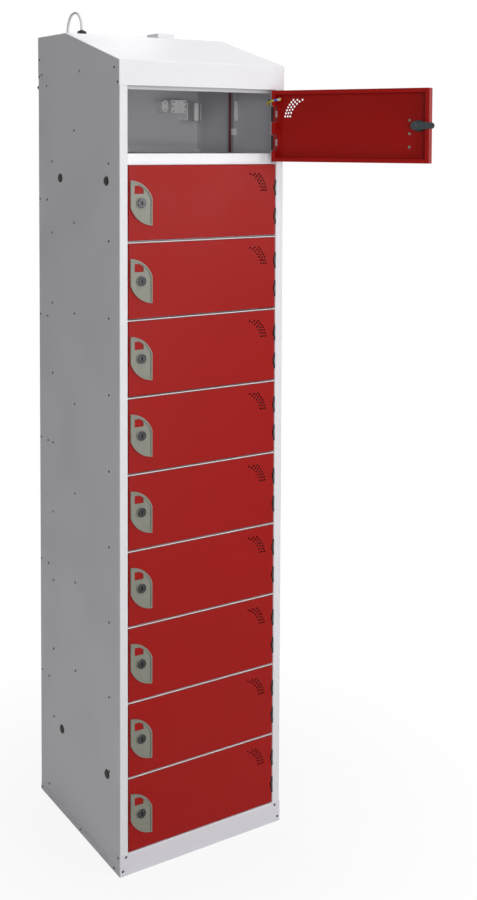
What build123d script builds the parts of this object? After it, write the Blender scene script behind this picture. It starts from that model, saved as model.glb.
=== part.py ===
"""Ten-door steel locker for phones, with a mains lead: every piece of it as a separate solid.

Millimetres, +Z up. Pieces are laid out in bench coordinates: x from the left side, y from the front
face towards the back, z up from the floor. save() moves each one so that the origin is at the middle
of the base tray's footprint, on the floor, with the front facing -Y.
"""

import math
import os

from build123d import *

os.makedirs("parts", exist_ok=True)

# ---- body ----------------------------------------------------------------------------------------
BODY_W = 428.0
BODY_D = 436.0
SHEET = 1.2  # folded steel sheet
BEND = 1.0  # inside radius of a fold
FIT = 0.3  # clearance where one folded piece slips past another
DOORS = 10
PITCH = 169.9  # from one door to the next
FIRST_LINE = 46.5  # level of the line under the lowest door
TRAY_H = 49.0  # front of the base tray
TRAY_SKIRT = 14.0
TRAY_EAR = 18.0  # the taller front ends of its side skirts
TRAY_FLANGE = 14.0  # folded back under the lowest door, between the stiles
TRAY_BEND = 1.8  # inside radius of that fold
STILE_W = 20.0
STILE_RETURN = 25.0
FASCIA_H = 54.5
HOOD_RISE = 76.1  # from the top of the fascia up to the ridge
RIDGE_Y = 276.7
HOOD_SKIRT_LIFT = 31.0  # the side skirts stop this far above the fascia's lower edge
HOOD_EAR = 22.0
CARCASS_DROP = 6.0  # the carcass stops this far below the top of the fascia
OUTER_ROUND = 1.8  # rounding along the hood's and the tray's folds

# ---- doors and hinges ----------------------------------------------------------------------------
DOOR_SIDE_GAP = 1.6
DOOR_TOP_GAP = 2.6
DOOR_BOTTOM_GAP = 4.2
DOOR_DEPTH = 20.0
DOOR_LIP = 9.0
DOOR_ROUND = 1.6
OPEN_ANGLE = 118.0  # how far the top door stands open
KNUCKLE_R = 2.2
KNUCKLE_LAP = 0.4  # how far a knuckle reaches past the rounded edge of the stile
PIN_R = 1.5
PIN_GAP = 0.05
HINGE_L = 37.0
HINGE_DROPS = (53.5, 119.5)  # from the door's top edge to the middle of each hinge
HINGE_NOTCH = 5.0
KNUCKLE_END_L = 11.0
KNUCKLE_GAP = 0.5
STRAP_T = 1.5
STRAP_L = 20.0
STRAP_NECK = 5.0
VENT_HOLE_R = 2.3
VENT_HOLES = 7  # in each arc
VENT_ARCS = ((66.4, 10.2, 48.2), (60.1, 11.3, 55.5), (53.8, 12.7, 66.9))  # radius, first, last angle
VENT_CENTRE_IN = 90.6  # of the arcs, from the hinge edge
VENT_CENTRE_DROP = 70.8

# ---- lock ----------------------------------------------------------------------------------------
LOCK_INSET = 30.0  # from the door's free edge to the lock's axis
PLATE_W = 53.0
PLATE_H = 99.0
PLATE_SHOULDER = 9.5  # where a curved side meets a straight one, from the middle
PLATE_BULGE = 10.0  # rise of each curved side over its chord
PLATE_T = 1.8
RIM_W = 2.8
RIM_T = 4.2
WINDOW_X = (-16.4, 5.7)
WINDOW_Z = (19.9, 37.8)
STUD_X = 21.5
STUD_Z = (12.2, -17.2, -46.4)
STUD_R = 2.0
STUD_GAP = 0.15
STUD_HEAD_R = 2.9
STUD_HEAD_T = 1.4
BEZEL_R = 12.6
BEZEL_T = 2.4
FACE_R = 10.4
FACE_T = 4.6
FACE_ROUND = 1.0
BARREL_R = 9.5
BARREL_GAP = 0.1
LOCK_PLUG_R = 6.2
KEYWAY_W = 3.2
KEYWAY_H = 8.8
KEYWAY_DEPTH = 3.0
NUT_FLATS = 24.0
NUT_T = 3.0
CAM_CLEAR = 1.2  # from the stile's return to the cam plate that turns behind it
CAM_T = 2.0
CAM_REACH = 45.0
CAM_HUB_R = 9.5
CAM_TIP_R = 6.8
COLLAR_R = 8.0
COLLAR_T = 3.1
SHANK_R = 4.0
SCREW_R = 5.2
SCREW_H = 2.6

# ---- inside --------------------------------------------------------------------------------------
LIP_BEHIND = 0.5  # from the back of a closed door to a shelf's lip
LIP_DOWN = 9.0
LIP_UP = 23.0
LIP_RETURN = 9.0
LEDGE_BACK = 2.4  # from the doors' fronts back to the edge of the ledge between two doors
LEDGE_DROP = 1.6  # from the line between the doors down to the ledge's underside
LEDGE_T = 2.4  # the sheet is folded flat on itself
LEDGE_ROUND = 0.9
HEADER_DROP = 8.0
SHELF_GAP = 14.0  # from a shelf's upstand back to the service panel
UPSTAND_H = 15.0
UPSTAND_CHAMFER = 11.0
WIRING_SPACE = 43.8  # between the service panel and the rear face of the carcass
SERVICE_FLANGE = 12.0
REAR_FLANGE = 14.0
ROOF_FLANGE = 28.0
RISER_FRONT = 196.0
RISER_W = 20.0
RISER_PROUD = 12.4
RISER_FLANGE = 24.0
FITTING_DEPTH = 41.0  # how far the power fittings stand out of the service panel
SOCKET_W = 21.6
SOCKET_H = 33.6
SOCKET_IN = 81.7  # from the right side to the middle between the two modules
MODULE_GAP = 0.2  # from that middle to each module
SOCKET_LIFT = 138.2  # from the door line to the middle of the modules
PIN_HOLE_R = 1.9
PIN_HOLE_DEPTH = 12.0
PIN_HOLE_SPOTS = ((5.6, 11.5), (7.6, 0.0), (5.0, -11.5))  # from the middle of the outer face
GRIP_W = 18.0
GRIP_H = 30.0
GRIP_IN = 121.4
GRIP_PIN_Z = 8.4
CHARGER_IN = 37.0
CHARGER_W = 41.6
CHARGER_H = 44.7
CHARGER_LIFT = 125.7
CHARGER_CORE_BACK = 4.0
CHARGER_CORE_IN = 1.0
CHEEK_T = 2.4
BAR_W = 12.5
BAR_X = 7.6  # from the charger's middle
BAR_PROUD = 1.0

# ---- fixings -------------------------------------------------------------------------------------
RIVET_R = 1.6
RIVET_GAP = 0.05
RIVET_HEAD_R = 3.2
RIVET_CROWN_R = 1.76
RIVET_HEAD_T = 1.2
RIVET_TAIL_R = 2.4
RIVET_TAIL_T = 1.2
SHELF_RIVET_FRONT = 54.0
SHELF_RIVET_IN = 20.0  # in front of the upstand
SHELF_RIVET_LIFT = 0.8
RISER_RIVET_IN = 16.0  # from the riser's back into its flange
RISER_RIVET_DROP = 96.7
RISER_RIVET_PITCH = 211.6
RISER_RIVETS = 7
SERVICE_RIVET_IN = 5.0  # in front of the service panel
REAR_RIVET_IN = 6.3  # in front of the rear face
BACK_RIVET_OVER = 12.0  # the last ones lie this far past the first and the last door
BACK_RIVET_STEPS = (0.0, 273.5, 556.5)  # from the last ones towards the middle
HOOD_RIVET_DROP = 16.0
HOOD_RIVET_Y = (23.7, 199.7)
HOOD_RIVET_IN = 23.3
HOOD_REAR_RIVET_IN = 9.0
HOOD_REAR_RIVET_DROPS = (-21.3, 19.0)
EAR_RIVET_IN = 7.5
HOOD_EAR_RIVET_LIFT = 6.8
TRAY_RIVET_Y = (28.5, 204.8)
TRAY_RIVET_IN = 10.0
TRAY_RIVET_Z = 8.6
TRAY_EAR_RIVET_Z = 41.4
TRAY_FRONT_RIVETS = ((7.6, 12.0), (15.2, 42.2))
BUTTON_R = 10.0
BUTTON_GAP = 0.1
BUTTON_HEAD_R = 10.7
BUTTON_CROWN_R = 8.56
BUTTON_HEAD_T = 2.4
BUTTON_FRONT = 65.0
BUTTON_IN = 68.0  # in front of the upstand
BUTTON_Z = (206.0, 1538.0)
BUFFER_R = 5.0
BUFFER_L = 15.0
BUFFER_X = 9.0
BUFFER_DROP = 44.5

# ---- mains lead, gland and what stands on the hood -----------------------------------------------
GLAND_X = 88.0
GLAND_Y = 374.0
GLAND_R = 14.2
GLAND_TOP_R = 9.8
GLAND_H = 16.0
GLAND_BRIM = 3.0
GLAND_STUB_R = 8.0
GLAND_STUB_GAP = 0.2
GLAND_NUT_FLATS = 22.0
GLAND_NUT_T = 4.0
GLAND_ROUND = 2.5
GLAND_STUB_OVER = 2.0  # the stub passes its nut by this much
COVER_IN = 149.0  # from the right side to its left edge
COVER_REAR_IN = 40.0
COVER_W = 46.0
COVER_D = 58.0
COVER_H = 18.0
COVER_ROUND = 1.5
CORD_D = 6.5
COIL_R = 36.0  # middle of its two turns
COIL_CENTRE = (300.0, 487.0)
MAINS_PLUG_W = 50.0
MAINS_PLUG_L = 48.0
MAINS_PLUG_H = 19.0
MAINS_PLUG_OUT = 18.0  # from where the lead leaves the coil to the plug's sleeve
PLUG_ROUND = 9.0
PLUG_TOP_ROUND = 3.0
PLUG_PINS = (
    (36.0, 0.0, 4.0, 8.0, 22.7),
    (14.0, 11.0, 6.3, 4.0, 17.7),
    (14.0, -11.0, 6.3, 4.0, 17.7),
)  # of each pin: place along and across, width, thickness, and length above the plug
PIN_ROOT = 14.0  # length of a pin inside the plug
SLEEVE_R = 5.0
SLEEVE_L = 24.0
EARTH_R = 1.5
EARTH_STUD_IN = 15.0  # earth stud on the door, from its hinge edge
EARTH_STUD_DROP = 20.0
EARTH_STUD_R = 2.5
EARTH_STUD_L = 7.0
EYE_R = 4.5
EYE_T = 2.0
EYE_GAP = 0.2
EARTH_WALL_Y = 58.0

# bends of an earth lead behind a shut door, and round the lip of the door that stands open: each is
# measured in from the right side, back from the front, and up from the stud
EARTH_SHUT = [(13.4, 44.0, -8.0), (24.4, 33.0, -10.0), (37.4, 23.0, -6.0)]
EARTH_OPEN = [
    (16.0, 39.0, -9.0),
    (31.0, 21.0, -12.0),
    (44.0, 6.0, -9.0),
    (48.5, -8.0, -6.0),
    (44.0, -20.0, -3.0),
    (34.0, -23.0, -1.0),
]

# the mains lead's centreline from the gland's top, over the back edge and down behind the locker
LEAD = [
    (88.0, 374.0, 1892.1),
    (88.0, 374.0, 1912.0),
    (87.6, 383.8, 1928.9),
    (87.0, 400.7, 1938.7),
    (86.5, 420.3, 1938.7),
    (86.0, 437.2, 1928.9),
    (85.6, 447.2, 1912.0),
    (85.4, 451.0, 1886.0),
    (85.5, 453.0, 1845.0),
    (85.9, 455.6, 1775.0),
    (86.8, 458.4, 1685.0),
    (88.1, 461.0, 1592.0),
    (89.8, 463.3, 1498.0),
    (91.9, 465.2, 1404.0),
    (94.4, 466.7, 1310.0),
    (97.3, 467.7, 1216.0),
    (100.5, 468.1, 1122.0),
    (104.1, 468.0, 1028.0),
    (108.0, 467.4, 934.0),
    (112.3, 466.4, 840.0),
    (117.0, 465.1, 746.0),
    (122.1, 463.7, 652.0),
    (127.7, 462.4, 558.0),
    (133.7, 461.4, 464.0),
    (140.2, 461.0, 371.0),
    (147.3, 461.7, 280.0),
    (155.0, 464.0, 192.0),
    (163.5, 468.4, 115.0),
    (173.0, 475.2, 60.0),
    (186.0, 485.0, 24.0),
    (207.0, 498.0, 7.6),
    (232.0, 512.0, 3.4),
    (258.0, 521.8, 3.35),
    (284.0, 526.2, 3.3),
]

# ---- worked out ----------------------------------------------------------------------------------
LINES = [FIRST_LINE + PITCH * k for k in range(DOORS + 1)]
FASCIA_BOTTOM = LINES[DOORS]
FASCIA_TOP = FASCIA_BOTTOM + FASCIA_H
RIDGE_Z = FASCIA_TOP + HOOD_RISE
CARCASS_TOP = FASCIA_TOP - CARCASS_DROP
MID_Z = (FIRST_LINE + FASCIA_BOTTOM) / 2
SIDE_X = SHEET  # the carcass stands inside the sheets of the hood and the tray
SIDE_IN = SIDE_X + SHEET
STILE_EDGE = SIDE_X + STILE_W
FACE_Y = SHEET  # front of the stiles and of the doors
REAR_Y = BODY_D - SHEET
RETURN_Y = FACE_Y + STILE_RETURN
LIP_Y = FACE_Y + DOOR_DEPTH + LIP_BEHIND
DOOR_L = STILE_EDGE + DOOR_SIDE_GAP
DOOR_R = BODY_W - DOOR_L
DOOR_H = PITCH - DOOR_TOP_GAP - DOOR_BOTTOM_GAP
PIVOT_X = BODY_W - STILE_EDGE - KNUCKLE_R + KNUCKLE_LAP
LOCK_X = DOOR_L + LOCK_INSET
RISER_X = SIDE_IN + RISER_PROUD
CAM_Y = RETURN_Y + CAM_CLEAR
BARREL_END = CAM_Y - COLLAR_T - BARREL_GAP
SERVICE_Y = REAR_Y - WIRING_SPACE
SHELF_BACK = SERVICE_Y - SHELF_GAP
FITTING_Y = SERVICE_Y - FITTING_DEPTH
SOCKET_X = BODY_W - SOCKET_IN
GRIP_X = BODY_W - GRIP_IN
CHARGER_X = BODY_W - CHARGER_IN
SHELF_RIVET_Y = (SHELF_RIVET_FRONT, SHELF_BACK - SHELF_RIVET_IN)
BUTTON_Y = (BUTTON_FRONT, SHELF_BACK - BUTTON_IN)
BACK_RIVET_END = (FASCIA_BOTTOM - FIRST_LINE) / 2 + BACK_RIVET_OVER
BACK_RIVET_REACH = [BACK_RIVET_END - step for step in BACK_RIVET_STEPS]
HOOD_SKIRT_Z = FASCIA_BOTTOM + HOOD_SKIRT_LIFT
MIDDLE = Plane((BODY_W / 2, 0, 0), z_dir=(1, 0, 0))


# ---- helpers -------------------------------------------------------------------------------------
def block(x0, x1, y0, y1, z0, z1):
    """A box from its low to its high corner."""
    middle = Pos((x0 + x1) / 2, (y0 + y1) / 2, (z0 + z1) / 2)
    return middle * Box(x1 - x0, y1 - y0, z1 - z0)


def bar_x(y, z, x0, x1, r):
    """A round bar along x."""
    return Pos((x0 + x1) / 2, y, z) * Rot(0, 90, 0) * Cylinder(r, x1 - x0)


def bar_y(x, z, y0, y1, r):
    """A round bar along y."""
    return Pos(x, (y0 + y1) / 2, z) * Rot(90, 0, 0) * Cylinder(r, y1 - y0)


def bar_z(x, y, z0, z1, r):
    """A round bar along z."""
    return Pos(x, y, (z0 + z1) / 2) * Cylinder(r, z1 - z0)


def front_plane(x, y, z):
    """A plane that faces the front: its own x is x, its own y is z, and it extrudes towards -y."""
    return Plane((x, y, z), x_dir=(1, 0, 0), z_dir=(0, -1, 0))


def folded(path, t=SHEET, r=BEND):
    """Section of a folded sheet of thickness t along path, its outer line. The sheet lies left of it."""
    steps = [Vector(*b) - Vector(*a) for a, b in zip(path, path[1:])]
    lefts = [Vector(-s.Y, s.X).normalized() for s in steps]
    lefts = [lefts[0], *lefts, lefts[-1]]
    inner, radii, inner_radii = [], [], []
    for i, p in enumerate(path):
        u, v = lefts[i], lefts[i + 1]
        shift = (u + v) * (t / (1 + u.dot(v)))
        inner.append((p[0] + shift.X, p[1] + shift.Y))
        turn = u.X * v.Y - u.Y * v.X
        radii.append(0 if abs(turn) < 1e-6 else r + t if turn > 0 else r)
        inner_radii.append(0 if abs(turn) < 1e-6 else r if turn > 0 else r + t)
    with BuildLine() as outline:
        FilletPolyline(*path, *inner[::-1], radius=radii + inner_radii[::-1], close=True)
    return make_face(outline.line)


def standing(section, z0, z1):
    """A section drawn in x and y, from level z0 to z1."""
    return Pos(0, 0, z0) * extrude(section, z1 - z0, dir=(0, 0, 1))


def lying(section, x0, x1):
    """A section drawn in y and z, from x0 to x1."""
    return Plane((x0, 0, 0), x_dir=(0, 1, 0), z_dir=(1, 0, 0)) * extrude(section, x1 - x0)


def cut(part, pieces):
    """part with a list of solids taken out of it together."""
    return part - Compound(children=[s for p in pieces for s in p.solids()])


def save(name, *parts):
    """Writes one node: its solids, moved from the bench to the part's own frame."""
    move = Pos(-BODY_W / 2, -BODY_D / 2, 0)
    solids = [move * s for part in parts for s in part.solids()]
    shape = solids[0] if len(solids) == 1 else Compound(children=solids)
    export_step(shape, f"parts/{name}.step")


# ---- rivets of the left side and of the front ----------------------------------------------------
def side_rivet_sites():
    """(x of the outer face, y, z, sheets joined) of each rivet on the left. Its head faces -x."""
    riser_y = RISER_FRONT + RISER_W + RISER_RIVET_IN
    sites = [
        (SIDE_X, y, z + SHELF_RIVET_LIFT, 2) for y in SHELF_RIVET_Y for z in LINES[1:DOORS]
    ]
    for i in range(RISER_RIVETS):
        sites.append((SIDE_X, riser_y, FASCIA_BOTTOM - RISER_RIVET_DROP - RISER_RIVET_PITCH * i, 2))
    for y, steps in (
        (SERVICE_Y - SERVICE_RIVET_IN, BACK_RIVET_REACH),
        (REAR_Y - REAR_RIVET_IN, BACK_RIVET_REACH[1:]),
    ):
        sites.append((SIDE_X, y, MID_Z, 2))
        sites += [(SIDE_X, y, MID_Z + way * step, 2) for step in steps for way in (-1, 1)]
    for y in (*HOOD_RIVET_Y, BODY_D - HOOD_RIVET_IN):
        through_roof = RETURN_Y < y < SHELF_BACK
        sites.append((0, y, FASCIA_TOP - HOOD_RIVET_DROP, 3 if through_roof else 2))
    high, low = HOOD_REAR_RIVET_DROPS
    sites.append((0, BODY_D - HOOD_REAR_RIVET_IN, FASCIA_TOP - high, 1))
    sites.append((0, BODY_D - HOOD_REAR_RIVET_IN, FASCIA_TOP - low, 3))
    sites.append((0, EAR_RIVET_IN, FASCIA_BOTTOM + HOOD_EAR_RIVET_LIFT, 2))
    for y in (*TRAY_RIVET_Y, BODY_D - TRAY_RIVET_IN):
        sites.append((0, y, TRAY_RIVET_Z, 3 if y > REAR_Y - REAR_FLANGE else 2))
    sites.append((0, EAR_RIVET_IN, TRAY_EAR_RIVET_Z, 2))
    return sites


def rivet(plane, sheets):
    """A blind rivet: a domed head on the plane, a shank through the sheets and a set tail behind."""
    grip = sheets * SHEET
    head = Pos(0, 0, RIVET_HEAD_T / 2) * Cone(RIVET_HEAD_R, RIVET_CROWN_R, RIVET_HEAD_T)
    shank = Pos(0, 0, -grip / 2) * Cylinder(RIVET_R, grip)
    tail = Pos(0, 0, -grip - RIVET_TAIL_T / 2) * Cylinder(RIVET_TAIL_R, RIVET_TAIL_T)
    return plane * (head + shank + tail)


SIDE_SITES = side_rivet_sites()
SIDE_HOLES = [
    bar_x(y, z, x - SHEET, x + (n + 1) * SHEET, RIVET_R + RIVET_GAP) for x, y, z, n in SIDE_SITES
]
FRONT_HOLES = [
    bar_y(x, z, -SHEET, 3 * SHEET, RIVET_R + RIVET_GAP) for x, z in TRAY_FRONT_RIVETS
]
LEFT_HOLES = SIDE_HOLES + FRONT_HOLES
ALL_HOLES = LEFT_HOLES + [h.mirror(MIDDLE) for h in LEFT_HOLES]


def holes_within(z0, z1, y0=-BODY_D, y1=2 * BODY_D):
    """The rivet holes, left and right, whose middles lie in a stretch of the body."""
    found = []
    for hole in ALL_HOLES:
        c = hole.center()
        if z0 <= c.Z <= z1 and y0 <= c.Y <= y1:
            found.append(hole)
    return found


def pop_rivets():
    left = [
        rivet(Plane((x, y, z), x_dir=(0, 1, 0), z_dir=(-1, 0, 0)), n) for x, y, z, n in SIDE_SITES
    ]
    left += [rivet(front_plane(x, 0, z), 2) for x, z in TRAY_FRONT_RIVETS]
    return left + [r.mirror(MIDDLE) for r in left]


# ---- body pieces ---------------------------------------------------------------------------------
def side_panel():
    """Left side: the wall, the stile folded across the front and its return."""
    section = folded(
        [
            (SIDE_X, REAR_Y),
            (SIDE_X, FACE_Y),
            (STILE_EDGE, FACE_Y),
            (STILE_EDGE, RETURN_Y),
        ]
    )
    buttons = [
        bar_x(y, z, -SHEET, SIDE_IN + SHEET, BUTTON_R + BUTTON_GAP)
        for y in BUTTON_Y
        for z in BUTTON_Z
    ]
    return cut(standing(section, SHEET, CARCASS_TOP), LEFT_HOLES + buttons)


def back_sheet(y, flange, z0, z1):
    """A full-width upright sheet whose back face is at y, with flanges folded forward at both sides."""
    x0, x1 = SIDE_IN, BODY_W - SIDE_IN
    section = folded([(x1, y - flange), (x1, y), (x0, y), (x0, y - flange)])
    return cut(standing(section, z0, z1), holes_within(z0, z1, y - flange, y))


def service_panel():
    """Inner back wall, in front of the space for the wiring."""
    y = SERVICE_Y + SHEET
    return back_sheet(y, SERVICE_FLANGE + SHEET, SHEET, CARCASS_TOP - SHEET)


def rear_panel():
    return back_sheet(REAR_Y, REAR_FLANGE, SHEET, CARCASS_TOP - SHEET)


def corner_notches(z0, z1):
    """Room for the stile returns at both front corners of a shelf."""
    left = block(0, STILE_EDGE + FIT, 0, RETURN_Y + FIT, z0, z1)
    return [left, left.mirror(MIDDLE)]


def riser_notches(z0, z1):
    """Room for the two cable risers and their flanges at the sides of a shelf."""
    y0, y1 = RISER_FRONT - FIT, RISER_FRONT + RISER_W + FIT
    duct = block(0, RISER_X + FIT, y0, y1, z0, z1)
    flange = block(0, SIDE_IN + SHEET + FIT, y0, y1 + RISER_FLANGE, z0, z1)
    return [duct, flange, duct.mirror(MIDDLE), flange.mirror(MIDDLE)]


def shelf(line):
    """A folded shelf: front lip with a return, side flanges, and a chamfered upstand at the back."""
    top, low = line + LIP_UP, line - LIP_DOWN
    section = folded(
        [
            (SHELF_BACK, top + UPSTAND_H),
            (SHELF_BACK, top),
            (LIP_Y, top),
            (LIP_Y, low),
            (LIP_Y + LIP_RETURN, low),
        ]
    )
    part = lying(section, SIDE_IN, BODY_W - SIDE_IN)
    side = block(SIDE_IN, SIDE_IN + SHEET, RETURN_Y + FIT, SHELF_BACK, low, top - SHEET / 2)
    part = part + side + side.mirror(MIDDLE)
    with BuildSketch(front_plane(SIDE_IN, SHELF_BACK + 2 * SHEET, top + UPSTAND_H)) as corner:
        with BuildLine():
            Polyline(
                (-1, 1), (UPSTAND_CHAMFER, 1), (UPSTAND_CHAMFER, 0), (0, -UPSTAND_CHAMFER),
                (-1, -UPSTAND_CHAMFER), close=True,
            )
        make_face()
    chamfer = extrude(corner.sketch, 4 * SHEET)
    notches = corner_notches(low - 1, top + 1) + riser_notches(low - 1, top + 1)
    return cut(part, notches + [chamfer, chamfer.mirror(MIDDLE)] + holes_within(low, top))


def shelf_ledge(line):
    """The strip that closes the gap between two doors, welded edge-on to the shelf's front lip."""
    x0, z0 = STILE_EDGE + FIT, line - LEDGE_DROP
    bar = block(x0, BODY_W - x0, FACE_Y + LEDGE_BACK, LIP_Y, z0, z0 + LEDGE_T)
    return fillet(bar.faces().sort_by(Axis.Y)[0].edges().filter_by(Axis.X), LEDGE_ROUND)


def roof_panel():
    """Top of the carcass, under the hood, with the header lip that shows below the fascia."""
    section = folded(
        [
            (REAR_Y, CARCASS_TOP),
            (LIP_Y, CARCASS_TOP),
            (LIP_Y, FASCIA_BOTTOM - HEADER_DROP),
            (LIP_Y + LIP_RETURN, FASCIA_BOTTOM - HEADER_DROP),
        ]
    )
    part = lying(section, SIDE_IN, BODY_W - SIDE_IN)
    low = CARCASS_TOP - ROOF_FLANGE
    side = block(SIDE_IN, SIDE_IN + SHEET, RETURN_Y + FIT, SHELF_BACK, low, CARCASS_TOP - SHEET / 2)
    part = part + side + side.mirror(MIDDLE)
    notches = corner_notches(FASCIA_BOTTOM - 2 * HEADER_DROP, CARCASS_TOP + 1)
    return cut(part, notches + holes_within(low, CARCASS_TOP, RETURN_Y, SHELF_BACK))


def cable_riser():
    """Left riser: a ribbed channel on the wall with one flange behind it."""
    y1 = RISER_FRONT + RISER_W
    section = folded(
        [
            (SIDE_IN, RISER_FRONT),
            (RISER_X, RISER_FRONT),
            (RISER_X, y1),
            (SIDE_IN + SHEET, y1),
            (SIDE_IN + SHEET, y1 + RISER_FLANGE),
        ]
    )
    z0, z1 = SHEET, CARCASS_TOP - ROOF_FLANGE - FIT
    return cut(standing(section, z0, z1), holes_within(z0, z1, y1, y1 + RISER_FLANGE))


def hood_solid(inset):
    """The hood's outer form, or its inside when inset by the sheet's thickness."""
    lean = math.atan2(HOOD_RISE, RIDGE_Y)
    drop = inset / math.cos(lean)
    front_z = FASCIA_TOP + inset * math.tan(lean) - drop
    ridge_y = (HOOD_RISE - inset + drop) / math.tan(lean)
    below = 1.0 if inset else 0.0
    outline = [
        (inset, FASCIA_BOTTOM - below),
        (inset, front_z),
        (ridge_y, RIDGE_Z - inset),
        (BODY_D - inset, RIDGE_Z - inset),
        (BODY_D - inset, HOOD_SKIRT_Z - below),
        (HOOD_EAR, HOOD_SKIRT_Z - below),
        (HOOD_EAR, FASCIA_BOTTOM - below),
    ]
    face = make_face(Polyline(*outline, close=True))
    return lying(face, inset, BODY_W - inset)


def sloping_hood():
    """Hood with a sloping front: fascia, slope, flat top, side skirts with ears, back skirt."""
    outer = hood_solid(0)
    tops = [e for e in outer.edges() if e.center().Z > HOOD_SKIRT_Z + 1]
    uprights = [
        e
        for e in outer.edges()
        if e.center().Y < 1 and abs(e.tangent_at(0).Z) > 0.9 and e not in tops
    ]
    outer = fillet(tops + uprights, OUTER_ROUND)
    gland = bar_z(GLAND_X, GLAND_Y, RIDGE_Z - 9, RIDGE_Z + 9, GLAND_STUB_R + GLAND_STUB_GAP)
    holes = holes_within(FASCIA_BOTTOM, RIDGE_Z)
    return cut(outer, [hood_solid(SHEET), gland] + holes)


def base_tray():
    """Tray that the carcass stands in: flat underside, tall front, low skirts with ears."""
    outer = block(0, BODY_W, 0, BODY_D, 0, TRAY_SKIRT) + block(0, BODY_W, 0, TRAY_EAR, 0, TRAY_H)
    corners = [e for e in outer.edges().filter_by(Axis.Z) if abs(e.center().Y - TRAY_EAR) > 1]
    outer = fillet(corners, OUTER_ROUND)
    outer = fillet(outer.faces().sort_by(Axis.Z)[0].edges(), OUTER_ROUND / 2)
    inner = block(SHEET, BODY_W - SHEET, SHEET, REAR_Y, SHEET, TRAY_H + 1)
    x0, low = STILE_EDGE + FIT, TRAY_H - TRAY_BEND - 2 * SHEET
    room = block(x0, BODY_W - x0, -SHEET, 2 * SHEET, low, TRAY_H + SHEET)
    section = folded([(TRAY_FLANGE, TRAY_H), (0, TRAY_H), (0, low)], r=TRAY_BEND)
    tray = cut(outer, [inner, room] + holes_within(0, TRAY_H))
    return tray + lying(section, x0, BODY_W - x0)


# ---- doors ---------------------------------------------------------------------------------------
def hinge_middles(door_top):
    return [door_top - drop for drop in HINGE_DROPS]


def vent_spots():
    """Middles of the vent holes, in three arcs: from the hinge edge and down from the door's top."""
    spots = []
    for radius, first, last in VENT_ARCS:
        for i in range(VENT_HOLES):
            angle = math.radians(first + (last - first) * i / (VENT_HOLES - 1))
            inwards = VENT_CENTRE_IN - radius * math.cos(angle)
            spots.append((inwards, VENT_CENTRE_DROP - radius * math.sin(angle)))
    return spots


def door_leaf(line):
    """A folded pan: front, four returns and lips, vents, lock holes, and the hinge knuckles."""
    z0, z1 = line + DOOR_BOTTOM_GAP, line + PITCH - DOOR_TOP_GAP
    y0, y1 = FACE_Y, FACE_Y + DOOR_DEPTH
    mid = (z0 + z1) / 2
    outer = block(DOOR_L, DOOR_R, y0, y1, z0, z1)
    outer = fillet(outer.faces().sort_by(Axis.Y)[0].edges(), DOOR_ROUND)
    back_x = (DOOR_L + DOOR_LIP, DOOR_R - DOOR_LIP)
    cuts = [
        block(DOOR_L + SHEET, DOOR_R - SHEET, y0 + SHEET, y1 - SHEET, z0 + SHEET, z1 - SHEET),
        block(*back_x, y1 - 2 * SHEET, y1 + SHEET, z0 + DOOR_LIP, z1 - DOOR_LIP),
        bar_y(LOCK_X, mid, y0 - SHEET, y0 + 2 * SHEET, BARREL_R + BARREL_GAP),
    ]
    cuts += [
        bar_y(LOCK_X + STUD_X, mid + z, y0 - SHEET, y0 + 2 * SHEET, STUD_R + STUD_GAP)
        for z in STUD_Z
    ]
    cuts += [
        bar_y(DOOR_R - u, z1 - v, y0 - SHEET, y0 + 2 * SHEET, VENT_HOLE_R) for u, v in vent_spots()
    ]
    half = HINGE_L / 2
    notch_x = DOOR_R - HINGE_NOTCH
    for z in hinge_middles(z1):
        cuts.append(block(notch_x, BODY_W, 0, y1 + SHEET, z - half, z + half))
    leaf = cut(outer, cuts)
    for z in hinge_middles(z1):
        for end in (z - half, z + half - KNUCKLE_END_L):
            leaf += block(notch_x - SHEET, PIVOT_X, y0, y0 + STRAP_T, end, end + KNUCKLE_END_L)
            leaf += bar_z(PIVOT_X, y0, end, end + KNUCKLE_END_L, KNUCKLE_R)
    stud_y = y0 + SHEET
    leaf += bar_y(
        DOOR_R - EARTH_STUD_IN, z1 - EARTH_STUD_DROP, stud_y, stud_y + EARTH_STUD_L, EARTH_STUD_R
    )
    bores = [
        bar_z(PIVOT_X, y0, z - half - SHEET, z + half + SHEET, PIN_R + PIN_GAP)
        for z in hinge_middles(z1)
    ]
    return cut(leaf, bores)


def frame_hinge(z):
    """The stile's half of a hinge: a strap with one knuckle, and the loose pin through all three."""
    half = HINGE_L / 2 - KNUCKLE_END_L - KNUCKLE_GAP
    x0, x1 = BODY_W - STILE_EDGE - STRAP_T, BODY_W - STILE_EDGE
    wide = HINGE_L / 2 - 2 * KNUCKLE_GAP
    strap = block(x0, x1, FACE_Y + STRAP_NECK, FACE_Y + STRAP_L, z - wide, z + wide)
    strap += block(x0, x1, FACE_Y, FACE_Y + STRAP_NECK, z - half, z + half)
    strap += bar_z(PIVOT_X, FACE_Y, z - half, z + half, KNUCKLE_R)
    strap = cut(strap, [bar_z(PIVOT_X, FACE_Y, z - half - 1, z + half + 1, PIN_R + PIN_GAP)])
    pin = bar_z(PIVOT_X, FACE_Y, z - HINGE_L / 2 + KNUCKLE_GAP, z + HINGE_L / 2 - KNUCKLE_GAP, PIN_R)
    return [strap, pin]


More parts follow.
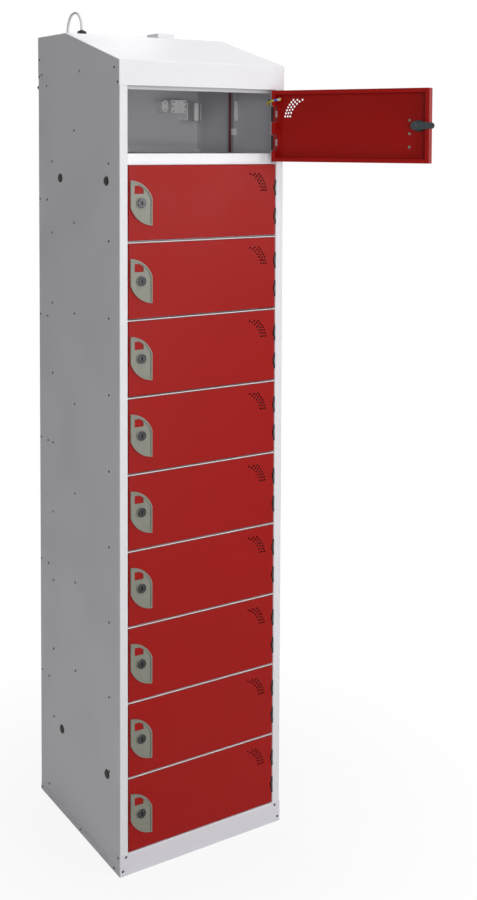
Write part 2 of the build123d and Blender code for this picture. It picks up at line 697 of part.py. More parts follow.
def plate_outline():
    """The lock plate's outline, the same when turned by half a turn: two straight sides, two curved."""
    x, z, s = PLATE_W / 2, PLATE_H / 2, PLATE_SHOULDER
    chord = Vector(2 * x, s - z)
    out = Vector(-chord.Y, chord.X).normalized() * PLATE_BULGE
    bulge = (out.X, (z + s) / 2 + out.Y)
    with BuildLine() as line:
        Line((-x, -s), (-x, z))
        ThreePointArc((-x, z), bulge, (x, s))
        Line((x, s), (x, -z))
        ThreePointArc((x, -z), (-bulge[0], -bulge[1]), (-x, -s))
    return make_face(line.line)


def lock_plate(mid):
    """Moulded surround with a raised rim, a window for a number, and three studs through the door."""
    plane = front_plane(LOCK_X, FACE_Y, mid)
    outline = plate_outline()
    body = extrude(outline, RIM_T)
    floor = offset(outline, -RIM_W)
    body -= Pos(0, 0, PLATE_T) * extrude(floor, RIM_T)
    window = block(*WINDOW_X, *WINDOW_Z, -1, RIM_T + 1)
    window = window & extrude(offset(outline, -2 * RIM_W), RIM_T)
    cuts = [window, Cylinder(BARREL_R + BARREL_GAP, 4 * RIM_T)]
    body = cut(body, cuts)
    for z in STUD_Z:
        spot = Pos(STUD_X, z, 0)
        body += spot * Pos(0, 0, -SHEET / 2) * Cylinder(STUD_R, SHEET + STUD_GAP)
        body += spot * Pos(0, 0, -SHEET - STUD_HEAD_T / 2) * Cylinder(STUD_HEAD_R, STUD_HEAD_T)
    return plane * body


def lock_barrel(mid):
    """Cam-lock body with its bezel, and the hexagon nut that holds it in the door."""
    y = FACE_Y - PLATE_T
    bezel = fillet(
        bar_y(LOCK_X, mid, y - BEZEL_T, y, BEZEL_R).edges().sort_by(Axis.Y)[0], FACE_ROUND
    )
    face = fillet(
        bar_y(LOCK_X, mid, y - FACE_T, y, FACE_R).edges().sort_by(Axis.Y)[0], FACE_ROUND
    )
    body = bezel + face + bar_y(LOCK_X, mid, y, BARREL_END, BARREL_R)
    bore = bar_y(LOCK_X, mid, y - 2 * FACE_T, 2 * BARREL_END, LOCK_PLUG_R + BARREL_GAP)
    nut = extrude(RegularPolygon(NUT_FLATS / 2, 6, major_radius=False), NUT_T)
    nut -= Cylinder(BARREL_R + BARREL_GAP, 4 * NUT_T)
    nut = front_plane(LOCK_X, FACE_Y + SHEET + NUT_T, mid) * nut
    return [cut(body, [bore]), nut]


def lock_cam(mid, turned_out):
    """What the key turns: plug with its keyway, cam plate and screw. turned_out points it outwards."""
    y_face = FACE_Y - PLATE_T - FACE_T
    y_tail = BARREL_END + BARREL_GAP
    plug = bar_y(LOCK_X, mid, y_face, y_tail, LOCK_PLUG_R)
    plug += bar_y(LOCK_X, mid, y_tail, CAM_Y, COLLAR_R)
    plug += bar_y(LOCK_X, mid, CAM_Y, CAM_Y + CAM_T, SHANK_R)
    slot_x, slot_z = (KEYWAY_W / 2, KEYWAY_H / 2) if not turned_out else (KEYWAY_H / 2, KEYWAY_W / 2)
    plug -= block(
        LOCK_X - slot_x, LOCK_X + slot_x, y_face - 1, y_face + KEYWAY_DEPTH, mid - slot_z, mid + slot_z
    )
    tip = CAM_REACH - CAM_TIP_R
    arm = Circle(CAM_HUB_R) + Pos(0, tip) * Circle(CAM_TIP_R)
    arm += make_face(
        Polyline(
            (-CAM_HUB_R, 0), (CAM_HUB_R, 0), (CAM_TIP_R, tip), (-CAM_TIP_R, tip), close=True
        )
    )
    plate = extrude(arm, CAM_T) - Cylinder(SHANK_R + PIN_GAP, 4 * CAM_T)
    turn = Rot(0, 0, 90 if turned_out else 0)
    plate = front_plane(LOCK_X, CAM_Y + CAM_T, mid) * turn * plate
    screw = bar_y(LOCK_X, mid, CAM_Y + CAM_T, CAM_Y + CAM_T + SCREW_H, SCREW_R)
    screw = fillet(screw.edges().sort_by(Axis.Y)[-1], SCREW_H / 3)
    return [plug, plate, screw]


def at_door(number, pieces):
    """The pieces of a door: the top one stands open, turned about its hinges."""
    if number > 1:
        return pieces
    hinge_line = Axis((PIVOT_X, FACE_Y, 0), (0, 0, 1))
    return [piece.rotate(hinge_line, OPEN_ANGLE) for piece in pieces]


# ---- power fittings, leads and small parts -------------------------------------------------------
def socket_modules(line):
    """Two white outlet modules side by side and a cord grip, on the service panel."""
    mid = line + SOCKET_LIFT
    pieces = []
    for way in (-1, 1):
        x0, x1 = sorted((SOCKET_X + way * MODULE_GAP, SOCKET_X + way * SOCKET_W))
        module = block(x0, x1, FITTING_Y, SERVICE_Y, mid - SOCKET_H / 2, mid + SOCKET_H / 2)
        module = fillet(module.faces().sort_by(Axis.Y)[0].edges(), FACE_ROUND)
        middle = (x0 + x1) / 2
        holes = [
            bar_y(middle + way * u, mid + v, FITTING_Y - 1, FITTING_Y + PIN_HOLE_DEPTH, PIN_HOLE_R)
            for u, v in PIN_HOLE_SPOTS
        ]
        pieces.append(cut(module, holes))
    stadium = SlotOverall(GRIP_H, GRIP_W, rotation=90)
    grip = front_plane(GRIP_X, SERVICE_Y, mid) * extrude(stadium, FITTING_DEPTH)
    grip = fillet(grip.faces().sort_by(Axis.Y)[0].edges(), FACE_ROUND)
    ends = [
        bar_y(GRIP_X, mid + z, FITTING_Y - 1, FITTING_Y + PIN_HOLE_DEPTH, PIN_HOLE_R)
        for z in (-GRIP_PIN_Z, GRIP_PIN_Z)
    ]
    pieces.append(cut(grip, ends))
    return pieces


def charger_unit(line):
    """A charger: core, two cheeks and a cover bar, each its own piece."""
    mid = line + CHARGER_LIFT
    z0, z1 = mid - CHARGER_H / 2, mid + CHARGER_H / 2
    x0, x1 = CHARGER_X - CHARGER_W / 2, CHARGER_X + CHARGER_W / 2
    core_y = FITTING_Y + CHARGER_CORE_BACK
    core_z = (z0 + CHARGER_CORE_IN, z1 - CHARGER_CORE_IN)
    core = block(x0 + CHEEK_T, x1 - CHEEK_T, core_y, SERVICE_Y, *core_z)
    cheeks = [
        block(x0, x0 + CHEEK_T, FITTING_Y, SERVICE_Y, z0, z1),
        block(x1 - CHEEK_T, x1, FITTING_Y, SERVICE_Y, z0, z1),
    ]
    bar_x0 = CHARGER_X + BAR_X - BAR_W / 2
    bar = block(bar_x0, bar_x0 + BAR_W, FITTING_Y - BAR_PROUD, core_y, z0, z1)
    bar = fillet(bar.faces().sort_by(Axis.Y)[0].edges().filter_by(Axis.Z), BAR_W / 4)
    return [core, bar, *cheeks]


def side_button(y, z):
    """Blanking button snapped into a hole of the left side."""
    head = Pos(SIDE_X - BUTTON_HEAD_T / 2, y, z) * Rot(0, -90, 0)
    head = head * Cone(BUTTON_HEAD_R, BUTTON_CROWN_R, BUTTON_HEAD_T)
    return head + bar_x(y, z, SIDE_X, SIDE_IN, BUTTON_R)


def rear_buffer():
    """Rubber buffer on the back of the left side, which keeps the lead off the wall."""
    z = FASCIA_TOP - BUFFER_DROP
    return bar_y(BUFFER_X, z, REAR_Y, REAR_Y + BUFFER_L, BUFFER_R)


def mains_gland():
    """Low dome that the lead comes out of, its threaded stub, and the nut under the hood."""
    brim = bar_z(GLAND_X, GLAND_Y, RIDGE_Z, RIDGE_Z + GLAND_BRIM, GLAND_R)
    dome_h = GLAND_H - GLAND_BRIM
    dome = Pos(GLAND_X, GLAND_Y, RIDGE_Z + GLAND_BRIM + dome_h / 2) * Cone(
        GLAND_R, GLAND_TOP_R, dome_h
    )
    dome = brim + fillet(dome.edges().sort_by(Axis.Z)[-1], GLAND_ROUND)
    low = RIDGE_Z - SHEET - GLAND_NUT_T
    dome += bar_z(GLAND_X, GLAND_Y, low - GLAND_STUB_OVER, RIDGE_Z, GLAND_STUB_R)
    nut = extrude(RegularPolygon(GLAND_NUT_FLATS / 2, 6, major_radius=False), GLAND_NUT_T)
    nut -= Cylinder(GLAND_STUB_R + GLAND_STUB_GAP, 4 * GLAND_NUT_T)
    return [dome, Pos(GLAND_X, GLAND_Y, low) * nut]


def hood_cover():
    """Low rectangular cover on the flat of the hood."""
    x0, y1 = BODY_W - COVER_IN, BODY_D - COVER_REAR_IN
    box = block(x0, x0 + COVER_W, y1 - COVER_D, y1, RIDGE_Z, RIDGE_Z + COVER_H)
    edges = [e for e in box.edges() if e.center().Z > RIDGE_Z + 1]
    return fillet(edges, COVER_ROUND)


def cord_tube(points, diameter, share=0.45):
    """A cord through points: straight runs joined by the largest tangent arcs that fit."""
    runs = [Vector(*b) - Vector(*a) for a, b in zip(points, points[1:])]
    radii = []
    for u, v in zip(runs, runs[1:]):
        half_turn = math.radians(u.get_angle(v)) / 2
        radii.append(share * min(u.length, v.length) / math.tan(half_turn))
    with BuildLine() as line:
        FilletPolyline(*points, radius=radii)
    path = line.wires()[0]
    start = Plane(origin=path @ 0, z_dir=path % 0)
    return sweep(start * Circle(diameter / 2), path=path), path.length, radii


def coil_solid():
    """Outer form of the coil of spare lead on the floor: two turns wide and two high."""
    x, y = COIL_CENTRE
    ring = bar_z(x, y, 0, 2 * CORD_D, COIL_R + CORD_D)
    return fillet(cut(ring, [bar_z(x, y, -1, 3 * CORD_D, COIL_R - CORD_D)]).edges(), CORD_D / 3)


def mains_plug():
    """Three-pin plug lying on its back beside the coil, its pins up."""
    x0 = COIL_CENTRE[0] + MAINS_PLUG_OUT
    y = COIL_CENTRE[1] + COIL_R + CORD_D / 2
    x1 = x0 + SLEEVE_L
    half = MAINS_PLUG_W / 2
    body = block(x1, x1 + MAINS_PLUG_L, y - half, y + half, 0, MAINS_PLUG_H)
    body = fillet(body.edges().filter_by(Axis.Z), PLUG_ROUND)
    body = fillet(body.edges().group_by(Axis.Z)[-1], PLUG_TOP_ROUND)
    sleeve = bar_x(y, SLEEVE_R, x0, x1 + 2, SLEEVE_R)
    body += sleeve
    for dx, dy, w, t, h in PLUG_PINS:
        pin_x, pin_y = x1 + dx, y + dy
        pin_z = (MAINS_PLUG_H - PIN_ROOT, MAINS_PLUG_H + h)
        body += block(pin_x - t / 2, pin_x + t / 2, pin_y - w / 2, pin_y + w / 2, *pin_z)
    return body


def earth_lead(number, line):
    """Earth lead from its eye and screw on the right wall to the eye on the stud inside a door."""
    z = line + PITCH - DOOR_TOP_GAP - EARTH_STUD_DROP
    wall = BODY_W - SIDE_IN
    stud_x = DOOR_R - EARTH_STUD_IN
    tip_y = FACE_Y + SHEET + EARTH_STUD_L + EYE_GAP
    eye = at_door(number, [bar_y(stud_x, z, tip_y, tip_y + EYE_T, EYE_R)])[0]
    end = eye.center()
    bends = EARTH_OPEN if number == 1 else EARTH_SHUT
    points = [(wall - EYE_T, EARTH_WALL_Y, z)]
    points += [(BODY_W - inwards, y, z + rise) for inwards, y, rise in bends]
    points.append((end.X, end.Y, end.Z))
    screw = bar_x(EARTH_WALL_Y, z, wall - EYE_T, wall, EYE_R)
    screw += bar_x(EARTH_WALL_Y, z, wall - 2 * EYE_T, wall - EYE_T, EYE_R / 2)
    return cord_tube(points, 2 * EARTH_R)[0] + screw + eye


# ---- writing every node --------------------------------------------------------------------------
save("base_tray", base_tray())
save("sloping_hood", sloping_hood())
left_panel = side_panel()
save("left_side_panel", left_panel)
save("right_side_panel", left_panel.mirror(MIDDLE))
save("rear_panel", rear_panel())
save("service_panel", service_panel())
save("roof_panel", roof_panel())
ledges = [shelf_ledge(line) for line in LINES[1:DOORS]]
save("shelves", *[shelf(line) for line in LINES[:DOORS]], *ledges)
left_riser = cable_riser()
save("cable_risers", left_riser, left_riser.mirror(MIDDLE))
save("pop_rivets", *pop_rivets())

left_small = [side_button(y, z) for y in BUTTON_Y for z in BUTTON_Z] + [rear_buffer()]
save("buttons_and_buffers", *left_small, *[p.mirror(MIDDLE) for p in left_small])

hinges, sockets, chargers, earths = [], [], [], []
for number in range(1, DOORS + 1):
    line = LINES[DOORS - number]
    top = line + PITCH - DOOR_TOP_GAP
    mid = line + DOOR_BOTTOM_GAP + DOOR_H / 2
    tag = f"{number:02d}"
    save(f"door_leaf_{tag}", *at_door(number, [door_leaf(line)]))
    save(f"lock_plate_{tag}", *at_door(number, [lock_plate(mid)]))
    save(f"lock_barrel_{tag}", *at_door(number, lock_barrel(mid)))
    save(f"lock_cam_{tag}", *at_door(number, lock_cam(mid, turned_out=number == 1)))
    for z in hinge_middles(top):
        hinges += frame_hinge(z)
    sockets += socket_modules(line)
    chargers += charger_unit(line)
    earths.append(earth_lead(number, line))
save("frame_hinges", *hinges)
save("socket_modules", *sockets)
save("charger_units", *chargers)
save("earth_leads", *earths)

save("mains_gland", *mains_gland())
save("hood_cover", hood_cover())
lead, lead_length, lead_radii = cord_tube(LEAD, CORD_D)
save("mains_cable", lead)
save("mains_coil", coil_solid())
save("mains_plug", mains_plug())

section_area = math.pi * CORD_D**2 / 4
print("lead radii", [round(r, 1) for r in lead_radii])
print("lead length", round(lead_length, 1), "volume ratio", lead.volume / (section_area * lead_length))
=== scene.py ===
"""Dresses the ten-door phone locker: its mains lead, earth leads, small trims, finishes, light
and camera.

The part's frame is metres, +Z up, origin in the middle of the base, doors facing -Y. Places are
written in millimetres on the bench, as a maker would measure them: x from the left side, y from
the front face towards the back, z up from the floor. bench() turns them into the part's frame.
"""

import math

import bmesh
import bpy
import numpy as np
from mathutils import Matrix, Vector


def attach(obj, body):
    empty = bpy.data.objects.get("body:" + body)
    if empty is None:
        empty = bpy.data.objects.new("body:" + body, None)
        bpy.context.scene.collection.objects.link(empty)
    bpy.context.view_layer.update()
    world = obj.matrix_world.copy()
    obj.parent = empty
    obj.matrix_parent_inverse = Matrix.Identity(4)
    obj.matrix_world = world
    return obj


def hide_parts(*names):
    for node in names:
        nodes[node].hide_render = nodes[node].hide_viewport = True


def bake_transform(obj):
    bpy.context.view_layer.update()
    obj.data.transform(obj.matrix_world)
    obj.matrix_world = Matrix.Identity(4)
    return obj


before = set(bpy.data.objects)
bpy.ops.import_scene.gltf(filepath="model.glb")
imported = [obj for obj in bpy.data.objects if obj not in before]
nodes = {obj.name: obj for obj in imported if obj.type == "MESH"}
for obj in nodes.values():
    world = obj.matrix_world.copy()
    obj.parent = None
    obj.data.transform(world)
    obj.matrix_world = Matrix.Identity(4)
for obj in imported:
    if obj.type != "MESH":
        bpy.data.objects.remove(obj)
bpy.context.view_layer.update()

# ---- sizes of the locker, millimetres on the bench ----------------------------------------------
BODY_W, BODY_D = 428.0, 436.0
ABOVE_ALL = 2000.0  # higher than anything on the locker
DOORS = 10
PITCH = 169.9  # from one door's line to the next
FIRST_LINE = 46.5  # the line under the lowest door
LINES = [FIRST_LINE + PITCH * (DOORS - n) for n in range(1, DOORS + 1)]  # under door 1, 2, ...
FASCIA_LINE = LINES[0] + PITCH  # the line under the hood's fascia
FACE_Y = 1.2  # outer face of a shut door
PIVOT = (405.0, FACE_Y)  # the hinge line, seen from above
OPEN_ANGLE = math.radians(118.0)  # how far the top door stands open
DOOR_TOP = 167.3  # a door's top edge above its line
LOCK_X = 52.8
LOCK_RISE = 85.75  # a lock's middle above its door's line
HINGE_RISES = (113.8, 47.8)  # the hinges' middles above it
RIDGE_Z = 1876.1  # the hood's flat top


def bench(points):
    """Bench millimetres to metres in the part's frame: shift by half the body, divide by 1000."""
    return (np.asarray(points, float) - (BODY_W / 2, BODY_D / 2, 0.0)) / 1000.0


def opened(points):
    """Points of a shut door's piece, turned about the hinge line by the open angle."""
    p = np.array(points, float)
    x, y = p[..., 0] - PIVOT[0], p[..., 1] - PIVOT[1]
    c, s = math.cos(OPEN_ANGLE), math.sin(OPEN_ANGLE)
    p[..., 0] = PIVOT[0] + x * c - y * s
    p[..., 1] = PIVOT[1] + x * s + y * c
    return p


# ---- camera -------------------------------------------------------------------------------------
CAMERA_PLACE = (-1162.1, -2295.2, 1624.0)
CAMERA_YAW, CAMERA_PITCH, CAMERA_ROLL = 32.551, 3.004, 0.252  # degrees: to the right, down, tilt
SENSOR_W, LENS = 36.0, 47.85
FRAME_SHIFT = -0.2722
FARTHEST = 60.0  # metres


def stand_camera():
    """A camera at standing height, in front of the locker's left corner, looking a little down.
    Forward is (sin yaw cos pitch, cos yaw cos pitch, -sin pitch), and the roll is about it."""
    data = bpy.data.cameras.new("camera")
    data.sensor_width = SENSOR_W
    data.lens = LENS
    data.shift_y = FRAME_SHIFT
    data.clip_end = FARTHEST
    camera = bpy.data.objects.new("camera", data)
    bpy.context.scene.collection.objects.link(camera)
    yaw, pitch, roll = (math.radians(a) for a in (CAMERA_YAW, CAMERA_PITCH, CAMERA_ROLL))
    level = math.cos(pitch)
    forward = Vector((math.sin(yaw) * level, math.cos(yaw) * level, -math.sin(pitch)))
    turn = forward.to_track_quat("-Z", "Y").to_matrix() @ Matrix.Rotation(roll, 3, "Z")
    camera.matrix_world = Matrix.Translation(bench(CAMERA_PLACE)) @ turn.to_4x4()
    bpy.context.scene.camera = camera


stand_camera()

# ---- mains lead ---------------------------------------------------------------------------------
LEAD_D = 6.5
# up out of the gland, over in a loop, down behind the rear panel and out to the coil on the floor
LEAD_ROUTE = [
    (88.0, 374.0, 1892.1),
    (88.0, 374.0, 1912.0),
    (87.6, 383.8, 1928.9),
    (87.0, 400.7, 1938.7),
    (86.5, 420.3, 1938.7),
    (86.0, 437.2, 1928.9),
    (85.6, 447.2, 1912.0),
    (85.4, 451.0, 1886.0),
    (85.5, 453.0, 1845.0),
    (85.9, 455.6, 1775.0),
    (86.8, 458.4, 1685.0),
    (88.1, 461.0, 1592.0),
    (89.8, 463.3, 1498.0),
    (91.9, 465.2, 1404.0),
    (94.4, 466.7, 1310.0),
    (97.3, 467.7, 1216.0),
    (100.5, 468.1, 1122.0),
    (104.1, 468.0, 1028.0),
    (108.0, 467.4, 934.0),
    (112.3, 466.4, 840.0),
    (117.0, 465.1, 746.0),
    (122.1, 463.7, 652.0),
    (127.7, 462.4, 558.0),
    (133.7, 461.4, 464.0),
    (140.2, 461.0, 371.0),
    (147.3, 461.7, 280.0),
    (155.0, 464.0, 192.0),
    (163.5, 468.4, 115.0),
    (173.0, 475.2, 60.0),
    (186.0, 485.0, 24.0),
    (207.0, 498.0, 7.6),
    (232.0, 512.0, 3.4),
    (258.0, 521.8, 3.35),
    (284.0, 526.2, 3.3),
]
COIL_CENTRE = (300.0, 487.0)
COIL_TURNS = ((39.25, 3.3), (32.75, 3.3), (32.75, 9.75), (39.25, 9.75))  # radius and height
TURN_POINTS = 16
SLIDE = 0.25  # the share of a turn in which the coil goes over to its next turn
LEAD_END = [(304.0, 526.3, 9.2), (312.0, 526.3, 7.0), (322.0, 526.25, 5.2)]  # into the plug


def coil_route():
    """The coil's turns as one list: angle falls evenly from 90 degrees, and over the last quarter
    of each turn the radius and the height slide to those of the next turn."""
    steps = np.arange(1, TURN_POINTS * len(COIL_TURNS) + 1) / TURN_POINTS
    whole = np.ceil(steps).astype(int) - 1  # a turn's last point still belongs to it
    after = np.minimum(whole + 1, len(COIL_TURNS) - 1)
    part = np.clip((steps - whole - (1 - SLIDE)) / SLIDE, 0, 1)
    turns = np.array(COIL_TURNS)
    mixed = turns[whole] * (1 - part[:, None]) + turns[after] * part[:, None]
    bulge = 1 / math.cos(math.pi / TURN_POINTS) ** 0.5  # a spline passes inside its points
    angle = math.pi / 2 - 2 * math.pi * steps
    x = COIL_CENTRE[0] + mixed[:, 0] * bulge * np.cos(angle)
    y = COIL_CENTRE[1] + mixed[:, 0] * bulge * np.sin(angle)
    return np.stack([x, y, mixed[:, 1]], 1)[:-1]


# ---- surfaces -----------------------------------------------------------------------------------
LEAN = (0.35, 0.2, 1.0)  # a direction that no line of this locker runs along
SAME_POINT = 1e-7  # metres
CREASE = math.radians(40)  # edges sharper than this stay sharp


def shape(points):
    """A closed surface over a grid of points: rows along the piece, columns round it, and a fan of
    triangles to the middle of the first row and of the last."""
    rows, cols = points.shape[:2]
    r = np.arange(rows - 1)[:, None] * cols
    c = np.arange(cols)[None]
    n = (c + 1) % cols
    quads = np.stack([r + c, r + n, r + cols + n, r + cols + c], -1).reshape(-1, 4)
    verts = np.vstack([points.reshape(-1, 3), points[0].mean(0), points[-1].mean(0)])
    first, last = np.full(cols, len(verts) - 2), np.full(cols, len(verts) - 1)
    top = (rows - 1) * cols
    low = np.stack([n[0], c[0], first], 1)
    high = np.stack([top + c[0], top + n[0], last], 1)
    return verts, quads, np.vstack([low, high])


def joined(shapes):
    """Several shapes as one: vertices stacked, faces counted on."""
    starts = np.cumsum([0] + [len(s[0]) for s in shapes[:-1]])
    verts = np.vstack([s[0] for s in shapes])
    quads = np.vstack([s[1] + n for s, n in zip(shapes, starts)])
    tris = np.vstack([s[2] + n for s, n in zip(shapes, starts)])
    return verts, quads, tris


def repeated(one, shifts):
    """Copies of a shape, one for each shift: every vertex plus every shift."""
    verts, quads, tris = one
    shifts = np.asarray(shifts, float)
    counts = len(verts) * np.arange(len(shifts))[:, None, None]
    everywhere = (verts[None] + shifts[:, None]).reshape(-1, 3)
    return everywhere, (quads[None] + counts).reshape(-1, 4), (tris[None] + counts).reshape(-1, 3)


def mirrored(one):
    """The same shape on the other side of the locker: x becomes BODY_W - x."""
    verts = one[0] * (-1.0, 1.0, 1.0) + (BODY_W, 0.0, 0.0)
    return verts, one[1], one[2]


def turned(profile, axis, middle, steps=20):
    """A lathe shape: (radius, place along the axis) pairs, turned round the x, y or z axis."""
    profile = np.asarray(profile, float)
    a = 2 * np.pi * np.arange(steps) / steps
    u, v = profile[:, :1] * np.cos(a), profile[:, :1] * np.sin(a)
    w = np.repeat(profile[:, 1:], steps, 1)
    order = {"x": (w, u, v), "y": (v, w, u), "z": (u, v, w)}
    return shape(np.stack(order[axis], -1) + np.asarray(middle, float))


def cushion(low, high, r, steps=3):
    """A box with rounded edges. A point is a corner's centre plus r times a direction on the unit
    sphere: (cos t cos p, cos t sin p, sin t), t from foot to top and p once round."""
    low, high = np.asarray(low, float), np.asarray(high, float)
    middle, half = (low + high) / 2, (high - low) / 2 - r
    quarter = np.linspace(0, np.pi / 2, steps)
    p = (np.arange(4)[:, None] * np.pi / 2 + quarter).ravel()[None]
    t = np.concatenate([quarter - np.pi / 2, quarter])[:, None]
    x = np.repeat([1, -1, -1, 1], steps) * half[0] + r * np.cos(t) * np.cos(p)
    y = np.repeat([1, 1, -1, -1], steps) * half[1] + r * np.cos(t) * np.sin(p)
    z = np.repeat([-1, 1], steps)[:, None] * half[2] + r * np.sin(t) + 0 * p
    return shape(np.stack([x, y, z], -1) + middle)


def smooth_line(route, resolution):
    """Points along the smooth spline that has the route as its control points."""
    curve = bpy.data.curves.new("line", "CURVE")
    curve.dimensions = "3D"
    spline = curve.splines.new("NURBS")
    spline.points.add(len(route) - 1)
    spline.points.foreach_set("co", np.hstack([route, np.ones((len(route), 1))]).ravel())
    spline.order_u = 3
    spline.use_endpoint_u = True
    spline.resolution_u = resolution
    holder = bpy.data.objects.new("line", curve)
    mesh = bpy.data.meshes.new_from_object(holder)
    points = np.zeros(len(mesh.vertices) * 3)
    mesh.vertices.foreach_get("co", points)
    bpy.data.objects.remove(holder)
    bpy.data.curves.remove(curve)
    bpy.data.meshes.remove(mesh)
    return points.reshape(-1, 3)


def tube(line, radius, steps):
    """A round section along a line: centre + r (side cos a + top sin a), side and top being square
    to the line."""
    ahead = np.gradient(line, axis=0)
    ahead /= np.linalg.norm(ahead, axis=1)[:, None]
    side = np.cross(ahead, LEAN)
    side /= np.linalg.norm(side, axis=1)[:, None]
    top = np.cross(side, ahead)
    a = 2 * np.pi * np.arange(steps) / steps
    ring = side[:, None] * np.cos(a)[None, :, None] + top[:, None] * np.sin(a)[None, :, None]
    return shape(line[:, None] + radius * ring)


def piece(name, parts, body, stripes=None):
    """Puts (shape, material) pairs, in bench millimetres, into one mesh. It rides on a body of the
    part, if one is given. stripes is a number for each vertex that a material may read."""
    verts, quads, tris = joined([p for p, _ in parts])
    materials = list(dict.fromkeys(m for _, m in parts))
    kinds = [materials.index(m) for _, m in parts]
    mesh = bpy.data.meshes.new(name)
    mesh.from_pydata(bench(verts), [], quads.tolist() + tris.tolist())
    which = np.concatenate(
        [np.repeat(kinds, [len(p[face]) for p, _ in parts]) for face in (1, 2)]
    )
    mesh.polygons.foreach_set("material_index", which)
    mesh.polygons.foreach_set("use_smooth", np.full(len(which), True))
    if stripes is not None:
        band = mesh.attributes.new("stripe", "FLOAT", "POINT")
        band.data.foreach_set("value", stripes.astype(np.float32))
    edit = bmesh.new()
    edit.from_mesh(mesh)
    bmesh.ops.remove_doubles(edit, verts=edit.verts, dist=SAME_POINT)
    bmesh.ops.recalc_face_normals(edit, faces=edit.faces)
    edit.to_mesh(mesh)
    edit.free()
    mesh.set_sharp_from_angle(angle=CREASE)
    for material in materials:
        mesh.materials.append(material)
    made = bpy.data.objects.new(name, mesh)
    bpy.context.scene.collection.objects.link(made)
    if body:
        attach(made, body)
    return made


# ---- shader parts -------------------------------------------------------------------------------
NARROW, WIDE = (0.35, 0.65), (0.3, 0.7)  # ranges that a soft noise mostly stays in
SATIN, MATT = (0.3, 0.45), (0.42, 0.55)  # roughness, from its least to its most
GRIT_SHARE = 0.3  # the fine grit's height, against the orange peel's
PEEL_DEPTH, GRAIN_DEPTH, LINE_DEPTH, RIPPLE_DEPTH = 6e-5, 4e-5, 1e-5, 2e-4  # metres
DUST = (0.55, 0.53, 0.50, 1.0)


def node(tree, kind, values=None, **settings):
    """Adds a node: settings are its properties, values its inputs, each a number or a socket."""
    made = tree.nodes.new("ShaderNode" + kind)
    for name, setting in settings.items():
        setattr(made, name, setting)
    for key, value in (values or {}).items():
        if isinstance(value, bpy.types.NodeSocket):
            tree.links.new(value, made.inputs[key])
        else:
            made.inputs[key].default_value = value
    return made


def maths(tree, operation, a, b=0.0):
    """One step of arithmetic on two numbers or sockets."""
    return node(tree, "Math", {0: a, 1: b}, operation=operation).outputs[0]


def spread(tree, value, low, high, to_low=0.0, to_high=1.0):
    """Stretches a value's range to another, held at its ends."""
    ends = {0: value, 1: low, 2: high, 3: to_low, 4: to_high}
    return node(tree, "MapRange", ends, clamp=True).outputs[0]


def effect(name, inputs, outputs):
    """An empty node group with named inputs (name: (kind, default)) and outputs (name: kind),
    the sockets of what it is given, and a function that puts one out."""
    group = bpy.data.node_groups.new(name, "ShaderNodeTree")
    for label, (kind, default) in inputs.items():
        kind = "NodeSocket" + kind
        socket = group.interface.new_socket(label, in_out="INPUT", socket_type=kind)
        if default is not None:
            socket.default_value = default
    for label, kind in outputs.items():
        group.interface.new_socket(label, in_out="OUTPUT", socket_type="NodeSocket" + kind)
    given = group.nodes.new("NodeGroupInput")
    result = group.nodes.new("NodeGroupOutput")

    def give(label, socket):
        group.links.new(socket, result.inputs[label])

    return group, given.outputs, give


def build_powder_coat():
    """Fine orange peel of baked powder, and the faint cloudiness of a large coated sheet."""
    g, given, give = effect(
        "powder_coat",
        {
            "Vector": ("Vector", None),
            "Peel": ("Float", 420.0),
            "Cloud": ("Float", 5.0),
            "Cloud Depth": ("Float", 0.04),
        },
        {"Height": "Float", "Tone": "Float", "Patch": "Float"},
    )
    at = given["Vector"]
    peel = node(g, "TexNoise", {"Vector": at, "Scale": given["Peel"], "Detail": 2.0}).outputs[0]
    grit = node(g, "TexNoise", {"Vector": at, "Scale": 1900.0, "Detail": 1.0}).outputs[0]
    slow = {"Vector": at, "Scale": given["Cloud"], "Detail": 3.0, "Roughness": 0.6}
    cloud = node(g, "TexNoise", slow).outputs[0]
    give("Height", maths(g, "ADD", peel, maths(g, "MULTIPLY", grit, GRIT_SHARE)))
    centred = maths(g, "SUBTRACT", cloud, 0.5)
    give("Tone", maths(g, "ADD", maths(g, "MULTIPLY", centred, given["Cloud Depth"]), 1.0))
    give("Patch", spread(g, cloud, *NARROW))
    return g


def build_moulded_grain():
    """Spark-eroded grain of a moulded part, with slow gloss changes."""
    g, given, give = effect(
        "moulded_grain",
        {"Vector": ("Vector", None), "Grain": ("Float", 1400.0)},
        {"Height": "Float", "Patch": "Float"},
    )
    pits = {"Vector": given["Vector"], "Scale": given["Grain"]}
    cells = node(g, "TexVoronoi", pits, feature="F1")
    slow = node(g, "TexNoise", {"Vector": given["Vector"], "Scale": 60.0, "Detail": 2.0})
    give("Height", cells.outputs["Distance"])
    give("Patch", slow.outputs[0])
    return g


def build_plating():
    """Plated metal: fine lines of the tool, drawn out along one axis, and faint blooming."""
    g, given, give = effect(
        "plating",
        {"Vector": ("Vector", None), "Stretch": ("Vector", (1.0, 1.0, 1.0))},
        {"Height": "Float", "Lines": "Float", "Bloom": "Float"},
    )
    both = {0: given["Vector"], 1: given["Stretch"]}
    drawn = node(g, "VectorMath", both, operation="MULTIPLY")
    lines = node(g, "TexNoise", {"Vector": drawn.outputs[0], "Scale": 300.0, "Detail": 3.0})
    bloom = node(g, "TexNoise", {"Vector": given["Vector"], "Scale": 130.0, "Detail": 3.0})
    give("Height", lines.outputs[0])
    give("Lines", lines.outputs[0])
    give("Bloom", bloom.outputs[0])
    return g


